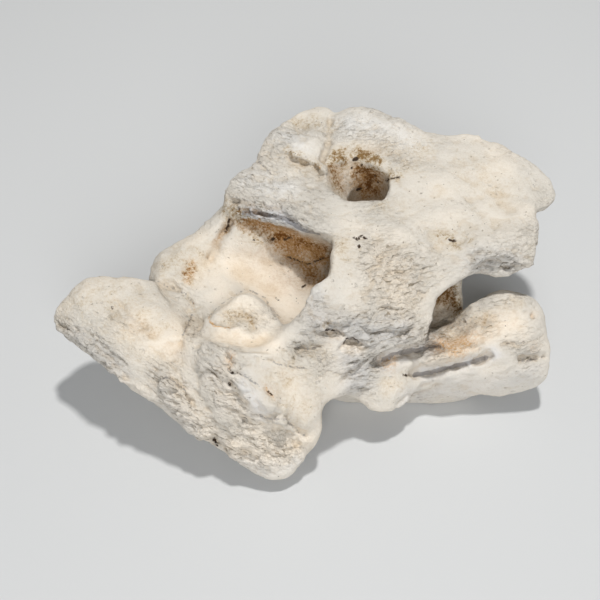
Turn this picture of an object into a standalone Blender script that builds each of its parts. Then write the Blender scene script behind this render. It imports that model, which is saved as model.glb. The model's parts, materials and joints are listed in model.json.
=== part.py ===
"""A water-worn limestone rock with a deep basin, a tunnel, a side notch, caves and pits, in metres, +Z up.

The rock is one piece. It starts as overlapping convex blocks of stone, which are blended together,
hollowed out, scored by grooves, raised along ridges, roughened, and cut flat where its feet rest.
"""

import bmesh
import bpy
import numpy as np
from mathutils import Euler, Matrix, Vector, noise

MM = 0.001

# Driving dimensions, in millimetres.
LENGTH = 210
BLEND_VOXEL = 2.0
CARVE_VOXEL = 1.4
CUTTER_VOXEL = 1.5
LARGE_LUMPS = (16, 4.0)
SMALL_LUMPS = (7, 2.0)

# How the grooves and ridges wander: the scale and the reach of their sideways drift, and how depth varies.
DRIFT_SCALE = 7
DRIFT = 2.5
DEPTH_SCALE = 11
DEPTH_SPREAD = 0.8
MEAN_DEPTH = 0.9
EDGE_SHARPNESS = 1.2

BLEND_ROUNDS = 2
CARVE_ROUNDS = 2
TRIANGLES = 9300

STONE_COLOUR = (0.78, 0.71, 0.60, 1)
STONE_ROUGHNESS = 0.92

# Blocks of stone: the corners of each convex mass, in millimetres.
MASSES = {
    "upper_left_lobe": [
        (-19, 55, 60), (-16, 66, 62), (-12, 76, 63), (-6, 80, 64), (-1, 83, 66), (8, 89, 66), (14, 86, 66),
        (17, 76, 67), (15, 56, 67), (12, 42, 66), (-2, 44, 65), (-14, 48, 63),
        (-14, 58, 40), (0, 72, 36), (14, 76, 36), (14, 44, 44),
    ],
    "lower_left_lobe": [
        (-35, 37, 53), (-33, 43, 57), (-26, 51, 59), (-20, 57, 60), (-31, 29, 52), (-26, 27, 54), (-21, 25, 57),
        (-4, 23, 60), (0, 18, 60), (7, 10, 61), (10, 40, 62), (-14, 48, 62), (-30, 40, 58),
        (-26, 36, 42), (-10, 52, 38), (8, 22, 44), (-4, 27, 42),
    ],
    "back_lump": [
        (16, 84, 65), (20, 86, 66), (26, 87, 67), (36, 85, 67), (46, 80, 66), (54, 74, 64), (56, 64, 64),
        (40, 58, 65), (22, 60, 66), (12, 62, 66), (13, 76, 65), (18, 70, 38), (46, 70, 38), (50, 60, 40),
    ],
    "plateau": [
        (7, 10, 61), (14, 7, 61), (40, 6, 61), (56, -5, 50), (62, 4, 54), (62, 40, 62), (56, 70, 64),
        (36, 70, 65), (12, 60, 65), (4, 40, 62), (4, 24, 60),
        (10, 24, 42), (50, 14, 40), (54, 60, 42), (14, 56, 42),
    ],
    "brow": [
        (52, 74, 64), (56, 73, 64), (68, 74, 63), (72, 73, 63), (82, 73, 62), (92, 67, 60), (97, 58, 60),
        (101, 57, 59), (102, 40, 58), (101, 30, 57), (98, 22, 57), (98, 12, 56), (96, 3, 54), (94, 1, 50),
        (86, -2, 46), (78, -2, 46), (72, -1, 48), (72, 5, 57), (92, 4, 57), (44, 40, 62), (56, 10, 60),
        (60, 60, 44), (82, 54, 44), (92, 38, 44), (84, 14, 43), (60, 8, 42),
    ],
    "beak": [
        (97, 60, 59), (106, 56, 58), (111, 51, 57), (113, 45, 56), (112, 38, 54), (107, 33, 54), (101, 28, 55),
        (90, 50, 60), (92, 36, 45), (103, 48, 46), (106, 40, 46),
    ],
    "bridge": [
        (14, 7, 61), (13, -1, 60), (8, -9, 58), (5, -16, 55), (2, -23, 50), (3, -28, 46), (8, -31, 42),
        (54, -15, 45), (51, -22, 42), (52, -26, 38), (47, -28, 36), (35, -29, 36), (20, -31, 38), (57, -6, 49),
        (18, -1, 62), (31, -2, 61), (40, 6, 61), (23, -20, 54), (46, -16, 51),
        (14, 4, 26), (48, 4, 26), (12, -22, 22), (46, -20, 22),
    ],
    "brow_corner": [
        (50, -8, 52), (53, -12, 46), (55, -11, 47), (59, -10, 48), (65, -7, 49), (69, -3, 50), (74, 1, 50),
        (64, 8, 57), (50, 2, 58), (52, -2, 42), (64, 0, 44), (70, 5, 44),
    ],
    "throat": [
        (32, -32, 30), (44, -29, 30), (54, -26, 30), (58, -16, 27), (36, -16, 32), (34, -26, 34),
        (56, -26, 12), (30, -26, 12), (40, -14, 14),
    ],
    "bridge_apron": [
        (8, -30, 47), (20, -29, 46), (34, -26, 43), (46, -25, 38), (31, -34, 36), (20, -35, 40), (10, -35, 43),
        (42, -29, 33), (8, -24, 30), (40, -20, 28), (24, -34, 30),
    ],
    "back_wall": [
        (-8, 25, 48), (4, 23, 52), (14, 18, 54), (14, 12, 30), (-8, 24, 30), (8, 30, 28), (14, 26, 50), (-6, 34, 46),
    ],
    "saddle": [
        (-4, -36, 46), (-2, -28, 45), (3, -21, 46), (6, -16, 50), (10, -22, 52), (10, -32, 44), (4, -38, 44),
        (-16, -38, 46), (14, -28, 36), (-6, -30, 30), (10, -18, 30), (6, -40, 36),
    ],
    "shelf": [
        (-4, -39, 44), (4, -38, 43), (17, -37, 39), (25, -37, 34), (33, -31, 34), (12, -45, 32), (19, -45, 26),
        (8, -52, 28), (22, -41, 30), (0, -45, 41), (-6, -30, 20), (12, -30, 14), (30, -26, 14), (8, -40, 20),
    ],
    "shoulder": [
        (-50, -30, 44), (-44, -26, 43), (-36, -33, 47), (-34, -42, 45), (-46, -44, 38), (-40, -50, 35),
        (-30, -50, 37), (-36, -30, 30), (-30, -44, 20), (-46, -40, 20),
    ],
    "left_slope": [
        (-59, -51, 28), (-51, -54, 24), (-43, -57, 21), (-35, -62, 17), (-29, -65, 13), (-40, -57, 26),
        (-35, -60, 20), (-54, -39, 38), (-45, -38, 42), (-44, -46, 38), (-34, -58, 27), (-28, -50, 34),
        (-32, -50, 4), (-38, -22, 4), (-20, -40, 4),
    ],
    "middle_slope": [
        (-38, -36, 47), (-33, -35, 48), (-25, -39, 48), (-22, -41, 47), (-36, -44, 42), (-34, -54, 34),
        (-30, -60, 28), (-24, -66, 19), (-28, -66, 13), (-12, -58, 32), (-18, -48, 43), (-12, -62, 25),
        (-28, -46, 4), (-14, -56, 4), (-20, -30, 6),
    ],
    "right_slope": [
        (-22, -41, 47), (-14, -40, 48), (-9, -41, 47), (0, -38, 45), (4, -40, 42), (9, -46, 36), (9, -51, 30),
        (9, -56, 24), (9, -58, 18), (-2, -56, 34), (-12, -56, 36), (-18, -48, 44), (-4, -60, 25),
        (-14, -50, 4), (4, -48, 4), (0, -28, 6),
    ],
    "toe": [
        (-28, -66, 13), (-21, -70, 9), (-16, -72, 7), (-9, -73, 5), (-5, -72, 5), (-1, -68, 8), (1, -64, 12),
        (8, -59, 14), (9, -58, 19), (-4, -63, 19), (-14, -66, 19), (-26, -63, 20), (-12, -60, 27), (-4, -58, 26),
        (-18, -60, 2), (-6, -62, 2), (2, -54, 2), (-16, -48, 4),
    ],
    "arm": [
        (-104, -16, 37), (-101, -12, 41), (-94, -5, 44), (-88, 0, 46), (-83, 1, 46), (-73, 1, 46), (-62, 1, 44),
        (-97, -21, 35), (-89, -26, 35), (-77, -34, 35), (-69, -42, 34), (-59, -51, 28), (-84, -15, 48),
        (-74, -13, 49), (-61, -10, 46), (-65, -29, 47), (-50, -20, 43), (-42, -28, 43), (-57, -36, 42),
        (-88, -14, 31), (-70, -10, 25), (-50, -4, 16), (-46, -42, 12), (-40, -10, 14),
    ],
    "rear_rim": [
        (-66, 7, 36), (-65, 15, 37), (-60, 21, 40), (-49, 24, 42), (-44, 33, 42), (-58, 1, 42), (-50, -2, 41),
        (-42, 20, 42), (-46, 2, 38), (-56, 6, 16), (-42, 26, 12), (-24, 40, 16), (-20, 20, 16),
    ],
    "neck": [
        (-44, 33, 42), (-38, 37, 45), (-35, 40, 48), (-44, 24, 43), (-36, 29, 47), (-32, 34, 50), (-40, 20, 40),
        (-24, 27, 50), (-16, 24, 48), (-26, 18, 42), (-10, 18, 37), (-30, 44, 46),
        (-24, 44, 16), (-40, 26, 14), (-14, 26, 16), (0, 26, 34), (-6, 24, 46),
    ],
    "bed": [
        (-56, -6, 40), (-44, -28, 37), (-6, -34, 37), (4, -22, 35), (10, -4, 32), (14, 16, 32), (-6, 26, 34),
        (-34, 26, 38), (-48, 12, 38), (-44, -10, 14), (-30, -34, 14), (0, -30, 14), (14, 14, 14), (-30, 26, 14),
    ],
    "island": [
        (-38, -22, 43), (-34, -17, 44), (-30, -13, 43), (-22, -9, 43), (-15, -11, 43), (-10, -17, 43),
        (-4, -27, 43), (-2, -34, 44), (-8, -38, 45), (-19, -37, 44), (-32, -34, 44), (-38, -30, 44), (-40, -36, 45),
        (-20, -20, 30), (-34, -26, 30),
    ],
    "island_peak": [
        (-25, -14, 50), (-22, -12, 52), (-18, -13, 51), (-32, -18, 46), (-38, -24, 44), (-12, -18, 47),
        (-5, -27, 45), (-30, -12, 40), (-20, -7, 40), (-12, -12, 40), (-26, -28, 46), (-14, -28, 46),
        (-32, -30, 38), (-10, -30, 38),
    ],
    "block_crest": [
        (-34, -37, 46), (-28, -36, 49), (-24, -40, 49), (-22, -45, 47), (-18, -51, 44), (-13, -55, 40),
        (-8, -58, 32), (-38, -40, 44), (-12, -44, 46), (-4, -52, 38), (-30, -50, 36), (-22, -58, 28),
        (-26, -44, 30), (-8, -48, 28),
    ],
    "core": [
        (-40, -20, 10), (-20, -34, 12), (15, -30, 12), (60, -28, 14), (70, -4, 14), (66, 30, 14), (56, 56, 14),
        (18, 68, 14), (-16, 56, 14), (-40, 26, 12), (-46, 0, 14), (10, 10, 6), (30, 30, 6),
        (-44, 20, 34), (-18, 54, 38), (20, 74, 42), (60, 62, 44), (70, 28, 42), (69, 8, 34),
        (56, -22, 20), (10, -26, 30),
    ],
    "front_foot": [
        (12, -30, -2), (20, -32, -2), (58, -33, -2), (70, -31, -2), (73, -24, -2), (70, -10, -2), (40, -8, -2),
        (16, -14, -2), (10, -30, 8), (20, -33, 10), (60, -34, 8), (74, -30, 8), (72, 0, 12), (14, -10, 16),
    ],
    "right_foot": [
        (58, 8, -2), (66, 6, -2), (71, 14, -2), (68, 30, -2), (56, 34, -2), (48, 20, -2),
        (73, 8, 18), (73, 22, 20), (66, 44, 22), (48, 40, 20), (46, 8, 18),
    ],
    "back_foot": [
        (-6, 48, -2), (8, 60, -2), (24, 64, -2), (34, 54, -2), (28, 40, -2), (6, 36, -2),
        (-14, 54, 16), (10, 74, 20), (40, 70, 22), (44, 48, 20), (4, 30, 16),
    ],
    "left_foot": [
        (-42, -8, -2), (-34, -20, -2), (-22, -20, -2), (-16, -6, -2), (-24, 10, -2), (-38, 10, -2),
        (-50, -8, 16), (-34, -30, 16), (-12, -20, 18), (-16, 20, 18), (-46, 20, 18),
    ],
    "limb": [
        (66, -7, 31), (71, -4, 32), (79, -2, 34), (84, 3, 37), (91, 6, 38), (98, 2, 37), (103, -6, 33),
        (104, -13, 29), (105, -22, 25), (103, -31, 16), (100, -33, 12), (95, -35, 9), (85, -36, 6),
        (75, -35, 7), (70, -35, 8), (62, -33, 12), (49, -34, 14), (44, -36, 15),
        (79, -29, 30), (68, -30, 29), (56, -31, 27), (46, -32, 26), (48, -26, 30),
        (92, -10, 10), (70, -4, 6), (48, -20, 6),
    ],
    "knob": [
        (17, -42, 25), (20, -44, 22), (26, -47, 18), (32, -48, 15), (39, -48, 15), (45, -43, 16), (48, -39, 18),
        (50, -34, 22), (42, -32, 28), (34, -33, 30), (26, -38, 31), (24, -30, 12), (46, -28, 12), (34, -26, 30),
    ],
}

# Hollows worn into the stone: the centre, the radii and the turn in degrees of each ellipsoid.
HOLLOWS = {
    "basin": ((-15, 4, 60), (30, 17, 27), (0, 0, -25)),
    "basin_cave": ((4, 6, 45), (11, 14, 12), (0, 0, -25)),
    "eye": ((29, 39, 53), (9, 11, 20), (0, 6, 0)),
    "eye_mouth": ((23, 40, 68), (13, 13, 14), (0, 0, 10)),
    "notch": ((92, 16, 37), (38, 18, 7), (0, 4, 0)),
    "notch_room": ((56, -1, 32), (13, 13, 11), (0, 0, 0)),
    "pocket": ((61, -14, 36), (11, 12, 8), (0, 0, 0)),
    "scoop": ((-22, -23, 52), (9, 6, 7), (0, 0, 0)),
    "bridge_pit_left": ((14, -31, 47), (3.5, 2.5, 4), (0, 0, 0)),
    "bridge_pit_right": ((21, -33, 42), (4.5, 3.5, 5), (0, 0, 0)),
    "back_cave": ((48, 66, 20), (15, 17, 12), (0, 0, 20)),
    "back_tunnel": ((38, 54, 28), (9, 28, 9), (-12, 0, -25)),
    "back_hole": ((-13, 62, 31), (8, 24, 7), (0, 0, 12)),
    "left_cave": ((-48, 6, 14), (14, 12, 10), (0, 0, 0)),
    "middle_cave": ((24, 20, 0), (22, 20, 12), (0, 0, 0)),
}

# Grooves along the surface: the half width, the depth and the points that each one follows.
GROOVES = {
    "neck_crack": (3, 2.0, [(-31, 27, 49), (-35, 22, 43), (-39, 15, 40)]),
    "arm_crease": (5, 2.0, [(-58, 2, 43), (-56, -1, 43), (-48, -5, 41), (-43, -11, 41), (-41, -20, 41)]),
    "slope_valley": (6, 2.0, [(-46, -37, 41), (-46, -45, 38), (-43, -51, 33)]),
    "slope_crease": (4, 2.0, [(-38, -39, 46), (-40, -42, 41), (-40, -46, 37), (-39, -50, 33), (-36, -54, 29)]),
    "toe_ledge": (4, 1.8, [(-14, -57, 33), (-8, -58, 30), (-3, -59, 25), (1, -60, 21)]),
    "bridge_foot": (4, 1.6, [(8, -31, 46), (19, -29, 42), (28, -32, 36), (36, -32, 31)]),
    "knob_crevice": (5, 3.5, [(31, -33, 32), (38, -27, 31), (46, -26, 31), (54, -25, 30)]),
    "limb_groove": (4, 2.8, [(46, -33, 25), (56, -32, 26), (66, -30, 28), (76, -28, 29)]),
    "limb_end_groove": (3, 1.5, [(88, -29, 26), (99, -26, 25)]),
    "lobe_ledge": (4, 2.0, [(-6, 55, 65), (0, 50, 65), (8, 43, 65)]),
    "lobe_crease": (5, 2.0, [(14, 74, 67), (12, 59, 67), (9, 44, 66)]),
    "lobe_hollow": (7, 2.5, [(0, 74, 66), (8, 70, 67)]),
    "bridge_hollow": (12, 3.0, [(33, -2, 61), (39, -8, 57), (47, -14, 51)]),
    "brow_hollow": (10, 3.5, [(59, 10, 60), (64, 14, 60), (72, 26, 61)]),
    "brow_dip": (9, 2.0, [(86, 20, 59), (84, 40, 61)]),
    "crown_dip": (9, 2.0, [(40, 24, 64), (62, 34, 63)]),
    "neck_dip": (7, 2.0, [(-22, 46, 60), (-10, 42, 62)]),
    "arm_dip": (9, 2.0, [(-80, -12, 48), (-72, -18, 48), (-66, -8, 47)]),
    "basin_moat": (5, 1.5, [(-36, -8, 40), (-22, 1, 38), (-8, -10, 38), (0, -24, 40)]),
}

# Ridges along the surface: the half width, the height and the points that each one follows.
RIDGES = {
    "slope_crest": (5, 2.0, [(-24, -41, 48), (-22, -46, 45), (-19, -51, 42), (-14, -55, 38), (-9, -57, 31)]),
    "left_crest": (5, 2.0, [(-52, -42, 36), (-49, -48, 33), (-45, -52, 26), (-39, -59, 21)]),
    "limb_rim": (4, 2.0, [(54, -29, 29), (62, -27, 30), (70, -26, 30), (77, -28, 29)]),
    "limb_lobe": (6, 2.0, [(82, -5, 36), (92, -6, 34), (96, -14, 31), (91, -22, 30)]),
    "saddle_crest": (5, 2.5, [(2, -29, 49), (-5, -33, 47), (-12, -39, 47), (-22, -41, 46)]),
    "bridge_rim": (5, 2.0, [(14, 4, 61), (9, -8, 58), (5, -18, 54), (3, -26, 49)]),
    "brow_ridge": (8, 2.0, [(96, 30, 59), (92, 14, 57), (80, 8, 55)]),
    "crown_lump": (10, 2.0, [(24, 76, 67), (36, 68, 66)]),
}


def clear_scene():
    """Removes every object of the startup scene."""
    for obj in list(bpy.data.objects):
        bpy.data.objects.remove(obj)


def new_collection(name):
    """A collection in the scene."""
    collection = bpy.data.collections.new(name)
    bpy.context.scene.collection.children.link(collection)
    return collection


def new_object(name, mesh, collection):
    """An object for the mesh, in the collection."""
    obj = bpy.data.objects.new(name, mesh)
    collection.objects.link(obj)
    return obj


def mesh_of(shape, name):
    """The bmesh as a mesh, after which the bmesh is freed."""
    mesh = bpy.data.meshes.new(name)
    shape.to_mesh(mesh)
    shape.free()
    return mesh


def block(name, corners, collection):
    """One convex block of stone around its corners."""
    shape = bmesh.new()
    for corner in corners:
        shape.verts.new(Vector(corner) * MM)
    hull = bmesh.ops.convex_hull(shape, input=shape.verts)
    inner = [v for v in hull["geom_interior"] if isinstance(v, bmesh.types.BMVert)]
    bmesh.ops.delete(shape, geom=inner, context="VERTS")
    bmesh.ops.recalc_face_normals(shape, faces=shape.faces)
    return new_object(name, mesh_of(shape, name), collection)


def ellipsoid(name, centre, radii, turn, collection):
    """One worn hollow, as a stretched and turned icosphere."""
    shape = bmesh.new()
    bmesh.ops.create_icosphere(shape, subdivisions=4, radius=1.0)
    mesh = mesh_of(shape, name)
    turned = Euler(np.radians(turn)).to_matrix().to_4x4()
    stretched = Matrix.Diagonal([radius * MM for radius in radii] + [1])
    mesh.transform(Matrix.Translation(Vector(centre) * MM) @ turned @ stretched)
    return new_object(name, mesh, collection)


def joined(name, parts, collection):
    """One mesh object that holds all of the parts."""
    shape = bmesh.new()
    for part in parts:
        shape.from_mesh(part.data)
    return new_object(name, mesh_of(shape, name), collection)


def remesh(obj, voxel):
    """Blends overlapping bodies into one skin."""
    modifier = obj.modifiers.new("blend", "REMESH")
    modifier.mode = "VOXEL"
    modifier.voxel_size = voxel * MM
    modifier.use_smooth_shade = True


def smooth(obj, rounds):
    """Rounds the edges a little."""
    modifier = obj.modifiers.new("wear", "SMOOTH")
    modifier.factor = 0.5
    modifier.iterations = rounds


def cut(obj, cutter):
    """Takes the cutter out of the object."""
    modifier = obj.modifiers.new("cut", "BOOLEAN")
    modifier.operation = "DIFFERENCE"
    modifier.object = cutter


def roughen(obj, name, size, depth):
    """Raises and sinks the surface by cloud noise of this size and full depth."""
    texture = bpy.data.textures.new(name, "CLOUDS")
    texture.noise_scale = size * MM
    texture.noise_basis = "ORIGINAL_PERLIN"
    modifier = obj.modifiers.new(name, "DISPLACE")
    modifier.texture = texture
    modifier.texture_coords = "GLOBAL"
    modifier.strength = depth * MM
    modifier.mid_level = 0.5


def evaluated_mesh(obj, name):
    """The mesh of the object with its modifiers, as a new mesh."""
    bpy.context.view_layer.update()
    graph = bpy.context.evaluated_depsgraph_get()
    mesh = bpy.data.meshes.new_from_object(obj.evaluated_get(graph))
    mesh.name = name
    return mesh


def thin_out(obj, triangles):
    """Collapses the mesh to about this many triangles."""
    mesh = evaluated_mesh(obj, "full")
    mesh.calc_loop_triangles()
    modifier = obj.modifiers.new("thin_out", "DECIMATE")
    modifier.ratio = triangles / len(mesh.loop_triangles)
    modifier.use_collapse_triangulate = True
    bpy.data.meshes.remove(mesh)


def distances(points, path):
    """How far each point is from a path of straight runs."""
    nearest = np.full(len(points), np.inf)
    for start, end in zip(path, path[1:]):
        run = np.subtract(end, start)
        along = np.clip((points - start) @ run / (run @ run), 0, 1)
        gap = np.linalg.norm(points - start - along[:, None] * run, axis=1)
        nearest = np.minimum(nearest, gap)
    return nearest


def noise_at(points, scale):
    """Smooth noise from -1 to 1 at each point, at this scale."""
    return np.array([noise.noise(Vector(point) / scale) for point in points])


def score(obj, name, lines, sign):
    """Raises (+1) or sinks (-1) the surface along each line, by a Displace modifier on a weighed vertex group."""
    points = np.array([v.co for v in obj.data.vertices]) / MM
    drift = DRIFT * noise_at(points, DRIFT_SCALE)
    share = MEAN_DEPTH + DEPTH_SPREAD * noise_at(points, DEPTH_SCALE)
    deepest = max(depth for _, depth, _ in lines.values())
    weights = np.zeros(len(points))
    for width, depth, path in lines.values():
        away = np.abs(distances(points, path) + drift) / width
        profile = np.clip(1 - away**EDGE_SHARPNESS, 0, 1) ** EDGE_SHARPNESS
        weights = np.maximum(weights, profile * share * depth / deepest)
    group = obj.vertex_groups.new(name=name)
    for index in np.flatnonzero(weights > 0.01):
        group.add([int(index)], min(1.0, float(weights[index])), "REPLACE")
    modifier = obj.modifiers.new(name, "DISPLACE")
    modifier.vertex_group = name
    modifier.strength = sign * deepest * MM
    modifier.mid_level = 0.0


def set_to_size(mesh):
    """Scales the mesh to the rock's length and centres it over the origin."""
    points = np.array([v.co for v in mesh.vertices])
    low = points.min(axis=0)
    high = points.max(axis=0)
    middle = (low + high) / 2
    scale = LENGTH * MM / (high[0] - low[0])
    mesh.transform(Matrix.Scale(scale, 4) @ Matrix.Translation((-middle[0], -middle[1], 0)))


def floor_block(collection):
    """The block below the resting plane, which cuts the feet flat."""
    side = 2 * LENGTH * MM
    shape = bmesh.new()
    bmesh.ops.create_cube(shape, size=side)
    mesh = mesh_of(shape, "floor_block")
    mesh.transform(Matrix.Translation((0, 0, -side / 2)))
    return new_object("floor_block", mesh, collection)


def limestone():
    """Chalky cream stone."""
    material = bpy.data.materials.new("limestone")
    material.use_nodes = True
    shader = material.node_tree.nodes["Principled BSDF"]
    shader.inputs["Base Color"].default_value = STONE_COLOUR
    shader.inputs["Roughness"].default_value = STONE_ROUGHNESS
    return material


def hide_helpers(collection):
    """Leaves the helpers out of renders and draws them as wires."""
    for obj in collection.objects:
        obj.hide_render = True
        obj.display_type = "WIRE"


def hollowed_blank(helpers):
    """The blended blocks with the hollows taken out."""
    blocks = [block(name, corners, helpers) for name, corners in MASSES.items()]
    worn = [ellipsoid(name, *form, helpers) for name, form in HOLLOWS.items()]
    blank = joined("blank", blocks, helpers)
    cutter = joined("hollows", worn, helpers)
    remesh(cutter, CUTTER_VOXEL)
    remesh(blank, BLEND_VOXEL)
    smooth(blank, BLEND_ROUNDS)
    cut(blank, cutter)
    remesh(blank, CARVE_VOXEL)
    smooth(blank, CARVE_ROUNDS)
    return blank


def weathered(blank, helpers):
    """The blank with its grooves, ridges and lumps, thinned out to the triangles that it needs."""
    worn = new_object("worn", evaluated_mesh(blank, "worn"), helpers)
    score(worn, "grooves", GROOVES, -1)
    score(worn, "ridges", RIDGES, 1)
    roughen(worn, "large_lumps", *LARGE_LUMPS)
    roughen(worn, "small_lumps", *SMALL_LUMPS)
    thin_out(worn, TRIANGLES)
    return worn


def main():
    """Builds the rock."""
    clear_scene()
    rocks = new_collection("holey_rock")
    helpers = new_collection("cutters")
    worn = weathered(hollowed_blank(helpers), helpers)
    rock = new_object("rock", evaluated_mesh(worn, "rock"), rocks)
    set_to_size(rock.data)
    cut(rock, floor_block(helpers))
    rock.data.materials.clear()
    rock.data.materials.append(limestone())
    rock.data.shade_smooth()
    hide_helpers(helpers)


main()
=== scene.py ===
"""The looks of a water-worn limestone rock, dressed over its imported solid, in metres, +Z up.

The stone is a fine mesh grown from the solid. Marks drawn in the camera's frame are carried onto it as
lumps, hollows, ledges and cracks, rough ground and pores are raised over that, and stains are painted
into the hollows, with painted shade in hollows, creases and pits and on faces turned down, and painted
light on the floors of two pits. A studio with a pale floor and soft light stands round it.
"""

import json
import logging
import math
from dataclasses import dataclass, field
from enum import Enum

import bpy
import numpy as np
from mathutils import Matrix, Vector, noise
from mathutils.bvhtree import BVHTree

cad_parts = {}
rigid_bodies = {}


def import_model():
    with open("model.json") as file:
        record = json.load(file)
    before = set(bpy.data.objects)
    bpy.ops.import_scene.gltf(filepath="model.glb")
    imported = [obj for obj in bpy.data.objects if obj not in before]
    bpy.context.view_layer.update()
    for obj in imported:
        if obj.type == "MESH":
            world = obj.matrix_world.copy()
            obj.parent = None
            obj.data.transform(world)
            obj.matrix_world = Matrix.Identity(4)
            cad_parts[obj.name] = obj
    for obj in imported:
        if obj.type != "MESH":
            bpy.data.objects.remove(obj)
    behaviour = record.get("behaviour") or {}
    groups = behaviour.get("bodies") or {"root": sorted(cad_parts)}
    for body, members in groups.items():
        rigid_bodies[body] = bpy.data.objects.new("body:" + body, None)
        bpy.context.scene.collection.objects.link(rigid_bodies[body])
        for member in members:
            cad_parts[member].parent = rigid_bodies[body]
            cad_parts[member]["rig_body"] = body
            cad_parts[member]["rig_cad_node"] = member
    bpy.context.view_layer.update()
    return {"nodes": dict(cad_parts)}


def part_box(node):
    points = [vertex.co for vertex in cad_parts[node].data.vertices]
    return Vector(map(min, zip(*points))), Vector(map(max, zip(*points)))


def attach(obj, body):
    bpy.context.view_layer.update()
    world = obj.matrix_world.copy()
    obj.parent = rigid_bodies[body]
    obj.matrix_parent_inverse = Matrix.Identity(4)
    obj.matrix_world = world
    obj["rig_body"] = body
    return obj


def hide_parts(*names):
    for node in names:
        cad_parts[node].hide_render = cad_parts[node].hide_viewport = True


LOG = logging.getLogger("holey_rock")
MM = 0.001
# What the noise starts from, so that each run gives the same stone.
NOISE_SEED = 2

Pixel = tuple[float, float]
Colour = tuple[float, float, float, float]
Socket = bpy.types.NodeSocket


class Form(Enum):
    """How a mark shapes the stone across its width."""

    LUMP = "a round rise"
    HOLLOW = "a round dip"
    RIDGE = "a rise with a sharp top"
    CREASE = "a cut with a sharp bottom"
    LEDGE = "a step, high on the left of its line and low on the right"


class Pattern(Enum):
    """What one scale of rough ground looks like."""

    LUMPS = "soft lumps"
    CRESTS = "sharp crests between soft hollows"
    SCALES = "hollow scales that meet in sharp edges"
    STEPS = "tilted plates that break off in steps"
    PORES = "scattered round pits"


class Zone(Enum):
    """Where a scale of rough ground shows."""

    ALL_OVER = "all over"
    ROUGH = "rough"
    PORED = "pored"


class Tint(Enum):
    """What a stain on the stone is made of; some tints stand for painted shade, and one also for painted
    light.
    """

    DIRT = "dirt_and_shade"
    GRIME = "grime_and_shade"
    RUST = "rust"
    SLATE = "blue_shade"
    CHALK = "chalk"
    CREAM = "cream_and_light"
    SPECKS = "specks"


class Ink(Enum):
    """The colour of a thin line or a dot on the stone; the crease lines are painted shade."""

    DARK = "dark_ink"
    RUSTY = "rusty_ink"
    CRACK = "crease_shade_ink"


@dataclass(frozen=True)
class Mark:
    """One shape drawn on the stone: its form, half width and height in millimetres, and its line."""

    form: Form
    width: float
    height: float
    path: tuple[Pixel, ...]


@dataclass(frozen=True)
class Spot:
    """A stain, a patch of painted shade or light, or a patch of ground: its half width in millimetres, its
    strength, and its line.
    """

    width: float
    strength: float
    path: tuple[Pixel, ...]


@dataclass(frozen=True)
class Line:
    """A thin line or a dot: its half width in millimetres, and its line."""

    width: float
    path: tuple[Pixel, ...]


@dataclass(frozen=True)
class Ground:
    """One scale of rough ground: its pattern, waves and height in millimetres, and where it shows."""

    pattern: Pattern
    waves: float
    height: float
    zone: Zone


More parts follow.
